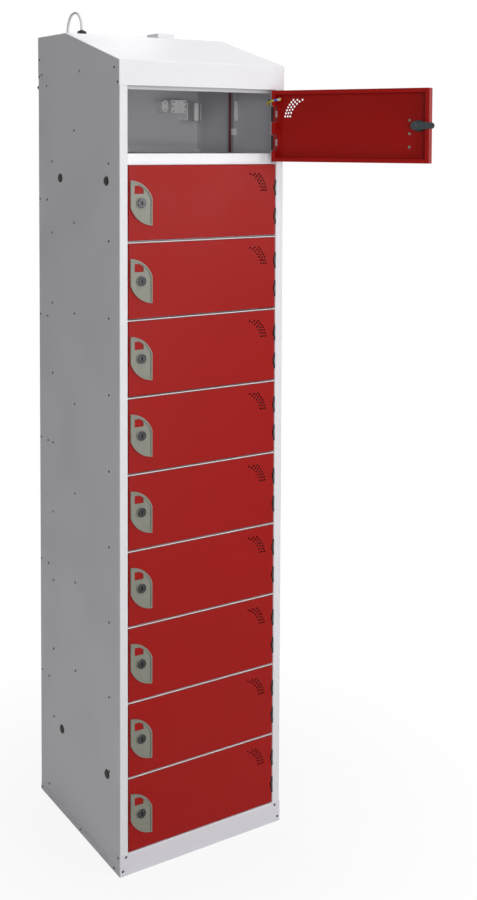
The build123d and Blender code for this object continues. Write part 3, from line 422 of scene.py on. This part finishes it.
def build_settled_dust():
    """Where dust lies: faces that look up, thinner where noise breaks it."""
    g, given, give = effect("settled_dust", {"Vector": ("Vector", None)}, {"Mask": "Float"})
    facing = node(g, "NewGeometry")
    up = node(g, "SeparateXYZ", {0: facing.outputs["Normal"]})
    specks = node(g, "TexNoise", {"Vector": given["Vector"], "Scale": 45.0, "Detail": 5.0})
    flat = spread(g, up.outputs["Z"], 0.6, 1.0)
    give("Mask", maths(g, "MULTIPLY", flat, spread(g, specks.outputs[0], 0.35, 0.8)))
    return g


def build_box_mask():
    """1 inside a box given by two corners on the piece's own coordinates, 0 outside."""
    g, given, give = effect(
        "inside_box",
        {
            "Vector": ("Vector", None),
            "Low": ("Vector", (0.0, 0.0, 0.0)),
            "High": ("Vector", (1.0, 1.0, 1.0)),
        },
        {"Mask": "Float"},
    )
    place, low, high = (node(g, "SeparateXYZ", {0: given[k]}) for k in ("Vector", "Low", "High"))
    mask = None
    for axis in "XYZ":
        above = maths(g, "GREATER_THAN", place.outputs[axis], low.outputs[axis])
        below = maths(g, "LESS_THAN", place.outputs[axis], high.outputs[axis])
        within = maths(g, "MULTIPLY", above, below)
        mask = within if mask is None else maths(g, "MULTIPLY", mask, within)
    give("Mask", mask)
    return g


def build_shut_place():
    """Places on a door as if it were shut: above line 1 they are turned back about the hinge."""
    g, given, give = effect("shut_place", {"Vector": ("Vector", None)}, {"Vector": "Vector"})
    swing = {
        "Vector": given["Vector"],
        "Center": tuple(bench((*PIVOT, 0.0))),
        "Axis": (0.0, 0.0, 1.0),
        "Angle": -OPEN_ANGLE,
    }
    back = node(g, "VectorRotate", swing).outputs[0]
    height = node(g, "SeparateXYZ", {0: given["Vector"]}).outputs["Z"]
    top_door = maths(g, "GREATER_THAN", height, LINES[0] / 1000)
    either = {0: top_door, 4: given["Vector"], 5: back}
    give("Vector", node(g, "Mix", either, data_type="VECTOR").outputs[1])
    return g


def build_row_place():
    """The x and y of a place, and its height above the line under its own door, in metres."""
    g, given, give = effect(
        "row_place",
        {"Vector": ("Vector", None)},
        {"X": "Float", "Y": "Float", "Rise": "Float"},
    )
    place = node(g, "SeparateXYZ", {0: given["Vector"]})
    give("X", place.outputs["X"])
    give("Y", place.outputs["Y"])
    over = maths(g, "SUBTRACT", place.outputs["Z"], FIRST_LINE / 1000)
    give("Rise", maths(g, "FLOORED_MODULO", over, PITCH / 1000))
    return g


POWDER_COAT = build_powder_coat()
MOULDED_GRAIN = build_moulded_grain()
PLATING = build_plating()
SETTLED_DUST = build_settled_dust()
INSIDE_BOX = build_box_mask()
SHUT_PLACE = build_shut_place()
ROW_PLACE = build_row_place()


class Finish:
    """A material with its own Principled shader, and short ways to place effects before it."""

    def __init__(self, name, **constants):
        self.material = bpy.data.materials.new(name)
        self.material.use_nodes = True
        self.tree = self.material.node_tree
        self.skin = self.tree.nodes["Principled BSDF"]
        for label, value in constants.items():
            self.skin.inputs[label.replace("_", " ")].default_value = value
        self.here = node(self.tree, "TexCoord").outputs["Object"]

    def effect(self, group, at=None, **values):
        """Places a node group, on the piece's own coordinates unless told where."""
        made = self.tree.nodes.new("ShaderNodeGroup")
        made.node_tree = group
        self.tree.links.new(at or self.here, made.inputs["Vector"])
        for label, value in values.items():
            made.inputs[label.replace("_", " ")].default_value = value
        return made.outputs

    def feed(self, label, socket):
        """Links a socket to one of the shader's inputs."""
        self.tree.links.new(socket, self.skin.inputs[label])

    def bump(self, height, distance, strength):
        """Raises the surface by a height that changes over it, times a distance in metres."""
        rise = {"Height": height, "Distance": distance, "Strength": strength}
        self.feed("Normal", node(self.tree, "Bump", rise).outputs[0])

    def mixed(self, mask, first, second):
        """The first colour where the mask is 0, the second where it is 1."""
        both = {0: mask, 6: first, 7: second}
        return node(self.tree, "Mix", both, data_type="RGBA", blend_type="MIX").outputs[2]

    def scaled(self, colour, factor):
        """A colour times a number that changes over the surface."""
        if isinstance(colour, tuple):
            colour = colour[:3]
        both = {0: colour, "Scale": factor}
        return node(self.tree, "VectorMath", both, operation="SCALE").outputs[0]

    def spread(self, value, *ends):
        return spread(self.tree, value, *ends)

    def maths(self, operation, a, b=0.0):
        return maths(self.tree, operation, a, b)

    def far(self, u, v):
        """Distance from (0, 0) to (u, v): the root of u squared plus v squared."""
        squares = self.maths("MULTIPLY", u, u), self.maths("MULTIPLY", v, v)
        return self.maths("SQRT", self.maths("ADD", *squares))

    def powder(self, colour, gloss, dust_share=0.12, **cloudiness):
        """Baked powder: orange peel, cloudy tone, uneven gloss, dust on what looks up. Gives back
        the colour that results."""
        coat = self.effect(POWDER_COAT, **cloudiness)
        self.feed("Roughness", self.spread(coat["Patch"], 0.0, 1.0, *gloss))
        self.bump(coat["Height"], PEEL_DEPTH, 0.5)
        dust = self.maths("MULTIPLY", self.effect(SETTLED_DUST)["Mask"], dust_share)
        return self.mixed(dust, self.scaled(colour, coat["Tone"]), DUST)


def coated_steel(name, colour, gloss=(0.36, 0.46)):
    """Powder-coated sheet steel."""
    f = Finish(name, Specular_IOR_Level=0.4)
    f.feed("Base Color", f.powder(colour, gloss))
    return f.material


def moulded(name, colour, gloss=(0.45, 0.6), grain=1400.0, level=0.5):
    """A moulded plastic: eroded grain, slow gloss changes, a slight tone change with the gloss."""
    f = Finish(name, Specular_IOR_Level=level)
    skin = f.effect(MOULDED_GRAIN, Grain=grain)
    dark = tuple(c * 0.9 for c in colour[:3]) + (1.0,)
    f.feed("Base Color", f.mixed(f.spread(skin["Patch"], *WIDE), dark, colour))
    f.feed("Roughness", f.spread(skin["Patch"], *WIDE, *gloss))
    f.bump(skin["Height"], GRAIN_DEPTH, 0.6)
    return f.material


def plated(name, colour, gloss=SATIN):
    """A plated or bare metal with drawn lines and blooming."""
    f = Finish(name, Metallic=1.0)
    metal = f.effect(PLATING, Stretch=(1.0, 1.0, 12.0))
    dark = tuple(c * 0.72 for c in colour[:3]) + (1.0,)
    f.feed("Base Color", f.mixed(f.spread(metal["Bloom"], *NARROW), dark, colour))
    f.feed("Roughness", f.spread(metal["Lines"], *WIDE, *gloss))
    f.bump(metal["Height"], LINE_DEPTH, 0.5)
    return f.material


# ---- finishes -----------------------------------------------------------------------------------
LIGHT_GREY = (0.765, 0.76, 0.795, 1.0)
# painted highlight: the shelves' front edges get a whiter grey, standing in for the light they
# catch between the doors
EDGE_HIGHLIGHT_WHITE = (0.84, 0.835, 0.86, 1.0)
# painted shade: a darker grey for the inside of the compartments, standing in for the shade that
# falls there
INNER_SHADE_GREY = (0.615, 0.61, 0.64, 1.0)
RED = (0.33, 0.0052, 0.0036, 1.0)
DARK_STEEL = (0.046, 0.045, 0.047, 1.0)
PUTTY = (0.226, 0.229, 0.187, 1.0)
# painted shade: the chrome face is near black, standing in for the dark surroundings that it
# reflects
CHROME_SHADE_LOW, CHROME_SHADE_HIGH = (0.048, 0.049, 0.052, 1.0), (0.06, 0.062, 0.066, 1.0)
CHARGER_GREY, CHARGER_WHITE = (0.33, 0.335, 0.34, 1.0), (0.95, 0.95, 0.945, 1.0)
SHEATH_GREY = (0.74, 0.74, 0.75, 1.0)
EARTH_YELLOW, EARTH_GREEN = (0.86, 0.64, 0.02, 1.0), (0.05, 0.26, 0.04, 1.0)

body_paint = coated_steel("body_paint", LIGHT_GREY)
tray_paint = coated_steel("tray_paint", (0.72, 0.71, 0.76, 1.0))
# painted shade: the panels inside the compartments take the darker inside grey
inner_paint = coated_steel("inner_paint", INNER_SHADE_GREY, MATT)
riser_paint = coated_steel("riser_paint", (0.36, 0.357, 0.38, 1.0), MATT)
rivet_metal = plated("rivet_metal", (0.075, 0.075, 0.078, 1.0), (0.18, 0.3))
tinned = plated("tinned", (0.72, 0.71, 0.66, 1.0))
brass = plated("brass", (0.46, 0.36, 0.13, 1.0))
hinge_steel = plated("hinge_steel", (0.13, 0.128, 0.132, 1.0))
plate_plastic = moulded("plate_plastic", PUTTY, (0.3, 0.42))
black_plastic = moulded("black_plastic", (0.006, 0.006, 0.007, 1.0), (0.4, 0.55), level=0.15)
gland_plastic = moulded("gland_plastic", (0.012, 0.012, 0.014, 1.0), level=0.25)
white_plastic = moulded("white_plastic", (0.97, 0.97, 0.965, 1.0), (0.2, 0.3), grain=2600.0)
grey_plastic = moulded("grey_plastic", (0.66, 0.66, 0.67, 1.0), (0.35, 0.5))
red_edging = moulded("red_edging", (0.2, 0.008, 0.008, 1.0), (0.35, 0.5))
blue_sleeve = moulded("blue_sleeve", (0.02, 0.05, 0.42, 1.0), SATIN)


STILE_EDGE = 21.5  # just past the inner edge of a stile, the folded strip beside the doors
BEHIND_SHEET = 1.8  # just past the sheet's thickness
RETURN_BACK = 28.0  # just behind the stiles' returns, where the inside begins


def lined_shade_highlight_finish():
    """Body paint outside and on the stiles, a whiter grey on the shelves' front edges that is
    painted highlight, and a darker grey inside the compartments that is painted shade."""
    f = Finish("lined_shade_highlight_paint", Specular_IOR_Level=0.4)

    def between(side, front, back):
        """The mask of what lies this far in from both sides, from front to back."""
        low, high = bench((side, front, 0.0)), bench((BODY_W - side, back, ABOVE_ALL))
        return f.effect(INSIDE_BOX, Low=tuple(low), High=tuple(high))["Mask"]

    # the shelves' front edges, which take the painted highlight
    edges = between(STILE_EDGE, BEHIND_SHEET, RETURN_BACK)
    # the inside of the compartments, which takes the painted shade
    inside = between(BEHIND_SHEET, RETURN_BACK, BODY_D)
    colour = f.mixed(inside, f.mixed(edges, LIGHT_GREY, EDGE_HIGHLIGHT_WHITE), INNER_SHADE_GREY)
    f.feed("Base Color", f.powder(colour, (0.38, 0.5)))
    return f.material


KNUCKLE_R = 2.9  # a little over the radius of a hinge knuckle
KNUCKLE_HALF = 18.8  # half the height of a door's knuckles


def door_finish():
    """Red powder coat, and dark steel on the door's own knuckles, close round the hinge line."""
    f = Finish("door_paint", Specular_IOR_Level=0.165)
    row = f.effect(ROW_PLACE, f.effect(SHUT_PLACE)["Vector"])
    axis_x, axis_y, _ = bench((*PIVOT, 0.0))
    off = f.far(f.maths("SUBTRACT", row["X"], axis_x), f.maths("SUBTRACT", row["Y"], axis_y))
    at_hinge = None
    for rise in HINGE_RISES:
        away = f.maths("ABSOLUTE", f.maths("SUBTRACT", row["Rise"], rise / 1000))
        near = f.maths("LESS_THAN", away, KNUCKLE_HALF / 1000)
        at_hinge = near if at_hinge is None else f.maths("MAXIMUM", at_hinge, near)
    steel = f.maths("MULTIPLY", f.maths("LESS_THAN", off, KNUCKLE_R / 1000), at_hinge)
    paint = f.powder(RED, (0.34, 0.44), 0.06, Cloud_Depth=0.07)
    f.feed("Base Color", f.mixed(steel, paint, DARK_STEEL))
    return f.material


FACE_R = 10.6  # a lock's chrome face
RING_MATT = 0.3  # how much rougher the ring round it is


def lock_finish(name, behind, sheen):
    """Chrome face darkened as painted shade, standing in for the dark surroundings it would
    reflect; a putty-coloured moulded ring round it, blackened metal behind the door.
    """
    f = Finish(name)
    row = f.effect(ROW_PLACE, f.effect(SHUT_PLACE)["Vector"])
    lock_x, face_y, lock_rise = bench((LOCK_X, FACE_Y, LOCK_RISE))
    off = f.far(f.maths("SUBTRACT", row["X"], lock_x), f.maths("SUBTRACT", row["Rise"], lock_rise))
    in_front = f.maths("LESS_THAN", row["Y"], face_y)
    ring = f.maths("MULTIPLY", f.maths("GREATER_THAN", off, FACE_R / 1000), in_front)
    metal = f.effect(PLATING, Stretch=(1.0, 1.0, 1.0))
    # the face's painted shade, from the near-black chrome colours
    chrome = f.mixed(f.spread(metal["Bloom"], *NARROW), CHROME_SHADE_LOW, CHROME_SHADE_HIGH)
    f.feed("Base Color", f.mixed(ring, f.mixed(in_front, behind, chrome), PUTTY))
    f.feed("Metallic", f.maths("SUBTRACT", 1.0, ring))
    gloss = f.spread(metal["Lines"], *WIDE, *sheen)
    f.feed("Roughness", f.maths("ADD", gloss, f.maths("MULTIPLY", ring, RING_MATT)))
    f.bump(metal["Height"], LINE_DEPTH, 0.5)
    return f.material


CHARGER_X, CHARGER_HALF = 391.0, 20.8
CHEEK = 2.35  # a cheek's thickness
CHEEK_MARGIN = 1.0  # past a cheek's outer face
BAR_X, BAR_HALF = 398.6, 6.45  # the cover bar, and a little more than half its width
CHARGER_FRONT, BAR_BACK, CHARGER_BACK = 340.0, 353.9, 400.0


def charger_finish():
    """Grey core with white cheeks and cover bar, told apart by their places across the charger."""
    f = Finish("charger_plastic", Specular_IOR_Level=0.5)
    left, right = CHARGER_X - CHARGER_HALF, CHARGER_X + CHARGER_HALF
    white = None
    for start, end, back in (
        (left - CHEEK_MARGIN, left + CHEEK, CHARGER_BACK),
        (right - CHEEK, right + CHEEK_MARGIN, CHARGER_BACK),
        (BAR_X - BAR_HALF, BAR_X + BAR_HALF, BAR_BACK),
    ):
        low, high = bench((start, CHARGER_FRONT, 0.0)), bench((end, back, ABOVE_ALL))
        part = f.effect(INSIDE_BOX, Low=tuple(low), High=tuple(high))["Mask"]
        white = part if white is None else f.maths("MAXIMUM", white, part)
    skin = f.effect(MOULDED_GRAIN, Grain=1800.0)
    f.feed("Base Color", f.mixed(white, CHARGER_GREY, CHARGER_WHITE))
    f.feed("Roughness", f.spread(skin["Patch"], *WIDE, *SATIN))
    f.bump(skin["Height"], GRAIN_DEPTH * 0.75, 0.6)
    return f.material


def lead_finish():
    """Pale grey flexible sheath: the faint ripple of the strands under it."""
    f = Finish("lead_sheath", Specular_IOR_Level=0.4)
    strands = {"Vector": f.here, "Scale": 120.0, "Detail": 2.0}
    ripple = node(f.tree, "TexNoise", strands).outputs[0]
    f.feed("Base Color", f.scaled(SHEATH_GREY, f.spread(ripple, *WIDE, 0.94, 1.0)))
    f.feed("Roughness", f.spread(ripple, *WIDE, 0.42, 0.56))
    f.bump(ripple, RIPPLE_DEPTH, 0.4)
    return f.material


def earth_finish():
    """Yellow sheath with green bands along it, from the stripe number kept on the mesh."""
    f = Finish("earth_sleeve", Specular_IOR_Level=0.5)
    band = node(f.tree, "Attribute", attribute_name="stripe").outputs["Fac"]
    green = f.spread(band, 0.78, 0.86)
    f.feed("Base Color", f.mixed(green, EARTH_YELLOW, EARTH_GREEN))
    skin = f.effect(MOULDED_GRAIN, Grain=900.0)
    f.feed("Roughness", f.spread(skin["Patch"], *WIDE, 0.35, 0.5))
    return f.material


lined_shade_highlight_paint = lined_shade_highlight_finish()
door_paint = door_finish()
lock_chrome = lock_finish("lock_chrome", (0.03, 0.034, 0.036, 1.0), (0.14, 0.22))
cam_steel = lock_finish("cam_steel", (0.045, 0.058, 0.062, 1.0), (0.2, 0.34))
charger_plastic = charger_finish()
lead_sheath = lead_finish()
earth_sheath = earth_finish()

FINISHES = {
    "base_tray": tray_paint,
    "sloping_hood": body_paint,
    "left_side_panel": lined_shade_highlight_paint,
    "right_side_panel": lined_shade_highlight_paint,
    "rear_panel": body_paint,
    "service_panel": inner_paint,
    "roof_panel": inner_paint,
    "shelves": lined_shade_highlight_paint,
    "cable_risers": riser_paint,
    "pop_rivets": rivet_metal,
    "buttons_and_buffers": black_plastic,
    "frame_hinges": hinge_steel,
    "socket_modules": white_plastic,
    "charger_units": charger_plastic,
    "earth_leads": rivet_metal,
    "mains_gland": gland_plastic,
    "hood_cover": body_paint,
    "mains_cable": lead_sheath,
    "mains_coil": lead_sheath,
    "mains_plug": white_plastic,
}
for number in range(1, DOORS + 1):
    tag = f"{number:02d}"
    FINISHES["door_leaf_" + tag] = door_paint
    FINISHES["lock_plate_" + tag] = plate_plastic
    FINISHES["lock_barrel_" + tag] = lock_chrome
    FINISHES["lock_cam_" + tag] = cam_steel
for name, finish in FINISHES.items():
    mesh = nodes[name].data
    mesh.materials.clear()
    mesh.materials.append(finish)


# ---- the mains lead itself ----------------------------------------------------------------------
def mains_lead():
    """A round tube along the smooth spline through the route, its coil's turns and its end."""
    line = smooth_line(np.vstack([LEAD_ROUTE, coil_route(), LEAD_END]), resolution=6)
    sheath = tube(line, LEAD_D / 2, steps=16)
    lead = piece("mains_lead", [(sheath, lead_sheath)], "carcass")
    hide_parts("mains_cable", "mains_coil")


mains_lead()

# ---- trims on the carcass and the doors ---------------------------------------------------------
RISER_TRIMS = [  # low corner, high corner (heights above a door's line), rounding, finish
    ((412.5, 208.4, 23.3), (413.3, 217.0, PITCH + 21.5), 0.3, red_edging),
    ((411.7, 195.0, 66.0), (413.3, 206.0, 82.0), 0.6, white_plastic),  # charging socket
    ((411.5, 200.0, 72.0), (412.0, 201.6, 76.5), 0.2, black_plastic),  # its slot
    ((413.6, 195.1, 66.0), (421.3, 196.2, 82.0), 0.4, grey_plastic),  # its side plate
    ((413.6, 193.4, 101.0), (424.6, 196.2, 149.0), 0.9, grey_plastic),  # bar over the cable
]
TOP_EDGING = 193.0  # where the top compartment's edging ends


def riser_trims():
    """On both risers of each compartment: a dark red edging, a charging socket with its slot and
    side plate, and a slim bar over the cable's way in."""
    parts = []
    for low, high, rounding, finish in RISER_TRIMS:
        for line in LINES:
            top = TOP_EDGING if finish is red_edging and line == LINES[0] else high[2]
            one = cushion((*low[:2], line + low[2]), (*high[:2], line + top), rounding)
            parts += [(one, finish), (mirrored(one), finish)]
    piece("riser_trims", parts, "carcass")


POWER_RISE = 138.2  # the fittings' middle above a door's line
OUTLETS_X, OUTLET_OFF = 346.3, 10.9
PINS = ((5.6, 11.5), (7.6, 0.0), (5.0, -11.5))  # across, away from the outlets' middle, and up
GRIP_X, GRIP_PIN_OFF = 306.6, 8.4
CONTACT_R, CONTACT_LONG, CONTACT_Y = 1.8, 9.0, 352.2


def socket_contacts():
    """Dark spring contacts a little way down every pin hole of the outlets and the grips."""
    holes = [(GRIP_X, POWER_RISE + way * GRIP_PIN_OFF) for way in (-1, 1)]
    for way in (-1, 1):
        middle = OUTLETS_X + way * OUTLET_OFF
        holes += [(middle + way * across, POWER_RISE + up) for across, up in PINS]
    profile = [(CONTACT_R, 0.0), (CONTACT_R, CONTACT_LONG)]
    one = turned(profile, "y", (0, CONTACT_Y, 0), steps=12)
    shifts = [(x, 0.0, line + z) for line in LINES for x, z in holes]
    piece("socket_contacts", [(repeated(one, shifts), black_plastic)], "carcass")


HEAD_X = 1.2  # the side wall's face: the hood's and the tray's skirts lie outside it, at 0
RISER_Y = 232.0
HOOD_LINE = FASCIA_LINE + 54.5  # the front of the hood's slope


def side_rivet_places():
    """(x of the head's foot, y, z) of the left side's rivets."""
    places = [(HEAD_X, y, z + 0.8) for y in (54.0, 357.0) for z in LINES[:-1]]  # shelves
    places += [(HEAD_X, RISER_Y, FASCIA_LINE - 96.7 - 211.6 * i) for i in range(7)]  # riser
    middle = (FIRST_LINE + FASCIA_LINE) / 2
    for y, reaches in ((386.0, (861.5, 588.0, 305.0)), (428.5, (588.0, 305.0))):  # rear panels
        places += [(HEAD_X, y, middle + way * reach) for reach in reaches for way in (-1, 1)]
        places.append((HEAD_X, y, middle))
    places += [(0.0, y, HOOD_LINE - 16.0) for y in (23.7, 199.7, 412.7)]  # hood
    places += [(0.0, 427.0, HOOD_LINE + z) for z in (21.3, -19.0)]
    places.append((0.0, 7.5, FASCIA_LINE + 6.8))
    places += [(0.0, y, 8.6) for y in (28.5, 204.8, 426.0)]  # tray
    places.append((0.0, 7.5, 41.4))
    return places


MANDREL = [(0.95, 0.0), (0.95, 1.35), (0.6, 1.6), (0.2, 1.65)]  # radius, height over the wall
FRONT_RIVETS = [(7.6, 0.0, 12.0), (15.2, 0.0, 42.2)]  # the tray's left ear


def rivet_mandrels():
    """The broken-off mandrel in the crown of each rivet: a short pin with a rounded end."""
    outwards = [(radius, -height) for radius, height in MANDREL]
    parts = []
    for axis, places in (("x", side_rivet_places()), ("y", FRONT_RIVETS)):
        left = repeated(turned(outwards, axis, (0, 0, 0), steps=10), places)
        parts += [(left, rivet_metal), (mirrored(left), rivet_metal)]
    piece("rivet_mandrels", parts, "carcass")


def where_it_stands(one, number):
    """A shape made on a shut door, put where its door stands: only the top door is open."""
    return (opened(one[0]),) + one[1:] if number == 1 else one


WASHER = [(5.4, 29.4), (7.4, 29.4), (7.4, 30.1), (5.4, 30.4)]  # radius, y


def cam_washer(number):
    """Behind a door: a spring washer round the screw that holds the cam."""
    middle = LINES[number - 1] + LOCK_RISE
    ring = where_it_stands(turned(WASHER, "y", (LOCK_X, 0, middle)), number)
    tag = f"{number:02d}"
    piece("cam_washer_" + tag, [(ring, rivet_metal)], "lock_" + tag)


EARTH_DROP = 20.0  # the earth leads' ends below a door's top edge
EARTH_WALL, EARTH_STUD = (423.6, 58.0), (390.2, 10.6)  # x and y of the two ends
SHUT_BENDS = [(414.6, 44, -8), (403.6, 33, -10), (390.6, 23, -6)]  # x, y, height over the ends
OPEN_BENDS = [
    (412, 39, -9),
    (397, 21, -12),
    (384, 6, -9),
    (379.5, -8, -6),
    (384, -20, -3),
    (394, -23, -1),
]
EARTH_R = 1.9
EARTH_SIDES = 12
EYE = [(2.6, -0.9), (4.5, -0.9), (4.5, 0.9), (2.6, 0.9)]  # radius, place along the axis
WALL_SCREW = [(3.2, -2.6), (3.2, 0.0), (2.4, 1.4)]
STUD_NUT = [(3.6, 0.6), (3.6, 2.8), (2.9, 3.2)]


def earth_lead(number):
    """Green and yellow bonding lead from the wall to the door: a crimped ring at the wall, a blue
    sleeve and a white one before the brass ring on the door's stud. The stripe number is the
    cosine of the angle round the lead."""
    z = LINES[number - 1] + DOOR_TOP - EARTH_DROP
    start, stud = np.array((*EARTH_WALL, z)), np.array((*EARTH_STUD, z))
    end, bends = (opened(stud), OPEN_BENDS) if number == 1 else (stud, SHUT_BENDS)
    line = smooth_line(np.vstack([start, np.array(bends) + (0, 0, z), end]), resolution=10)
    steps = np.linalg.norm(np.diff(line, axis=0), axis=1)
    from_wall = np.concatenate([[0], np.cumsum(steps)])
    from_stud = from_wall[-1] - from_wall

    def sleeve(distance, low, high, radius):
        """The tube over the stretch of the lead between two distances from one end."""
        return tube(line[(distance > low) & (distance < high)], radius, EARTH_SIDES)

    lead = tube(line, EARTH_R, EARTH_SIDES)
    door_ring = where_it_stands(turned(EYE, "y", stud), number)
    nut = where_it_stands(turned(STUD_NUT, "y", stud, steps=6), number)
    parts = [
        (lead, earth_sheath),
        (sleeve(from_wall, 2.0, 9.0, 2.1), tinned),
        (sleeve(from_stud, 12.0, 21.0, 2.3), blue_sleeve),
        (sleeve(from_stud, 5.0, 12.0, 2.4), white_plastic),
        (turned(EYE, "x", start + (0.4, 0, 0)), tinned),
        (turned(WALL_SCREW, "x", start - (1.0, 0, 0), steps=6), tinned),
        (door_ring, brass),
        (nut, brass),
    ]
    angle = 2 * np.pi * np.arange(EARTH_SIDES) / EARTH_SIDES
    stripes = np.zeros(sum(len(one[0]) for one, _ in parts))
    stripes[: len(line) * EARTH_SIDES] = np.tile(np.cos(angle), len(line))
    tag = f"{number:02d}"
    made = piece("earth_lead_" + tag, parts, None, stripes)
    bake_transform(made)
    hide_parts("earth_leads")


LEAD_HOLE = (88.0, 374.0, RIDGE_Z)
COLLAR = [(3.3, 14.6), (5.4, 14.6), (5.6, 15.4), (5.2, 17.0), (4.2, 18.0), (3.4, 18.2)]
GLAND_RING = [(10.4, 8.0), (10.9, 8.4), (10.9, 10.2), (10.4, 10.6)]


def lead_seal():
    """Rubber seal round the mains lead, standing a little out of the gland's mouth, and the
    gland's outer ring."""
    collar = turned(COLLAR, "z", LEAD_HOLE, steps=28)
    ring = turned(GLAND_RING, "z", LEAD_HOLE)
    piece("lead_seal", [(collar, gland_plastic), (ring, gland_plastic)], "carcass")


riser_trims()
socket_contacts()
rivet_mandrels()
for number in range(1, DOORS + 1):
    cam_washer(number)
    earth_lead(number)
lead_seal()

# ---- light and floor ----------------------------------------------------------------------------
FLOOR_HALF = 9.0
PAPER = (0.55, 0.55, 0.55, 1.0)
VEIL_LEAST, VEIL_NEAR, VEIL_FAR = 0.90, 0.28, 0.9  # share of white, and metres from the middle
SKY = 0.05
LAMPS = {  # place and aim in metres, width and height, watts
    "top": ((0.35, -0.7, 4.1), (0, 0, 1.5), (2.2, 2.0), 57.0),
    "fill": ((-1.35, -3.2, 1.8), (0, 0, 1.25), (1.4, 1.4), 41.0),
    "key": ((1.5, -2.7, 1.9), (0, 0, 1.5), (1.0, 1.1), 22.0),
    "low": ((0.4, -3.2, 0.7), (0, 0, 0.6), (1.6, 0.9), 17.0),
    "back": ((0.9, 3.2, 2.2), (0, 0, 1.0), (1.6, 1.6), 60.0),
}


def seen_ray(t):
    """1 for rays that show floor or surround: from the camera, off a gloss or through glass."""
    path = node(t, "LightPath")
    seen = maths(t, "MAXIMUM", path.outputs["Is Camera Ray"], path.outputs["Is Glossy Ray"])
    return maths(t, "MAXIMUM", seen, path.outputs["Is Transmission Ray"])


def paper_floor():
    """A pale floor that takes the locker's shadow. Seen rays find it VEIL_LEAST white close to the
    locker and all white from VEIL_FAR on, so it runs into the surround."""
    corners = [(x * FLOOR_HALF, y * FLOOR_HALF, 0) for x, y in ((-1, -1), (1, -1), (1, 1), (-1, 1))]
    floor = bpy.data.meshes.new("floor")
    floor.from_pydata(corners, [], [(0, 1, 2, 3)])
    ground = bpy.data.objects.new("floor", floor)
    bpy.context.scene.collection.objects.link(ground)
    paper = Finish("white_paper", Base_Color=PAPER, Roughness=0.9, Specular_IOR_Level=0.1)
    t = paper.tree
    away = node(t, "VectorMath", {0: paper.here}, operation="LENGTH").outputs["Value"]
    veil = paper.spread(away, VEIL_NEAR, VEIL_FAR, VEIL_LEAST, 1.0)
    white = paper.maths("MULTIPLY", seen_ray(t), veil)
    glow = node(t, "Emission", {"Strength": 1.0})
    mix = node(t, "MixShader", {0: white, 1: paper.skin.outputs[0], 2: glow.outputs[0]})
    t.links.new(mix.outputs[0], t.nodes["Material Output"].inputs["Surface"])
    floor.materials.append(paper.material)


def surround():
    """White for seen rays, a faint even sky for the rest."""
    world = bpy.data.worlds.new("surround")
    bpy.context.scene.world = world
    world.use_nodes = True
    t = world.node_tree
    t.nodes.clear()
    strength = spread(t, seen_ray(t), 0.0, 1.0, SKY, 1.0)
    back = node(t, "Background", {"Color": (1, 1, 1, 1), "Strength": strength})
    out = t.nodes.new("ShaderNodeOutputWorld")
    t.links.new(back.outputs[0], out.inputs["Surface"])


def soft_lamp(name, place, aim, size, watts):
    """A soft rectangular lamp at a place, turned towards a point."""
    data = bpy.data.lights.new(name, "AREA")
    data.shape = "RECTANGLE"
    data.size, data.size_y = size
    data.energy = watts
    lamp = bpy.data.objects.new(name, data)
    lamp.location = place
    direction = Vector(aim) - Vector(place)
    lamp.rotation_euler = direction.to_track_quat("-Z", "Y").to_euler()
    bpy.context.scene.collection.objects.link(lamp)


paper_floor()
surround()
for name, settings in LAMPS.items():
    soft_lamp(name, *settings)

bpy.context.scene.view_settings.view_transform = "Standard"

bpy.context.view_layer.update()
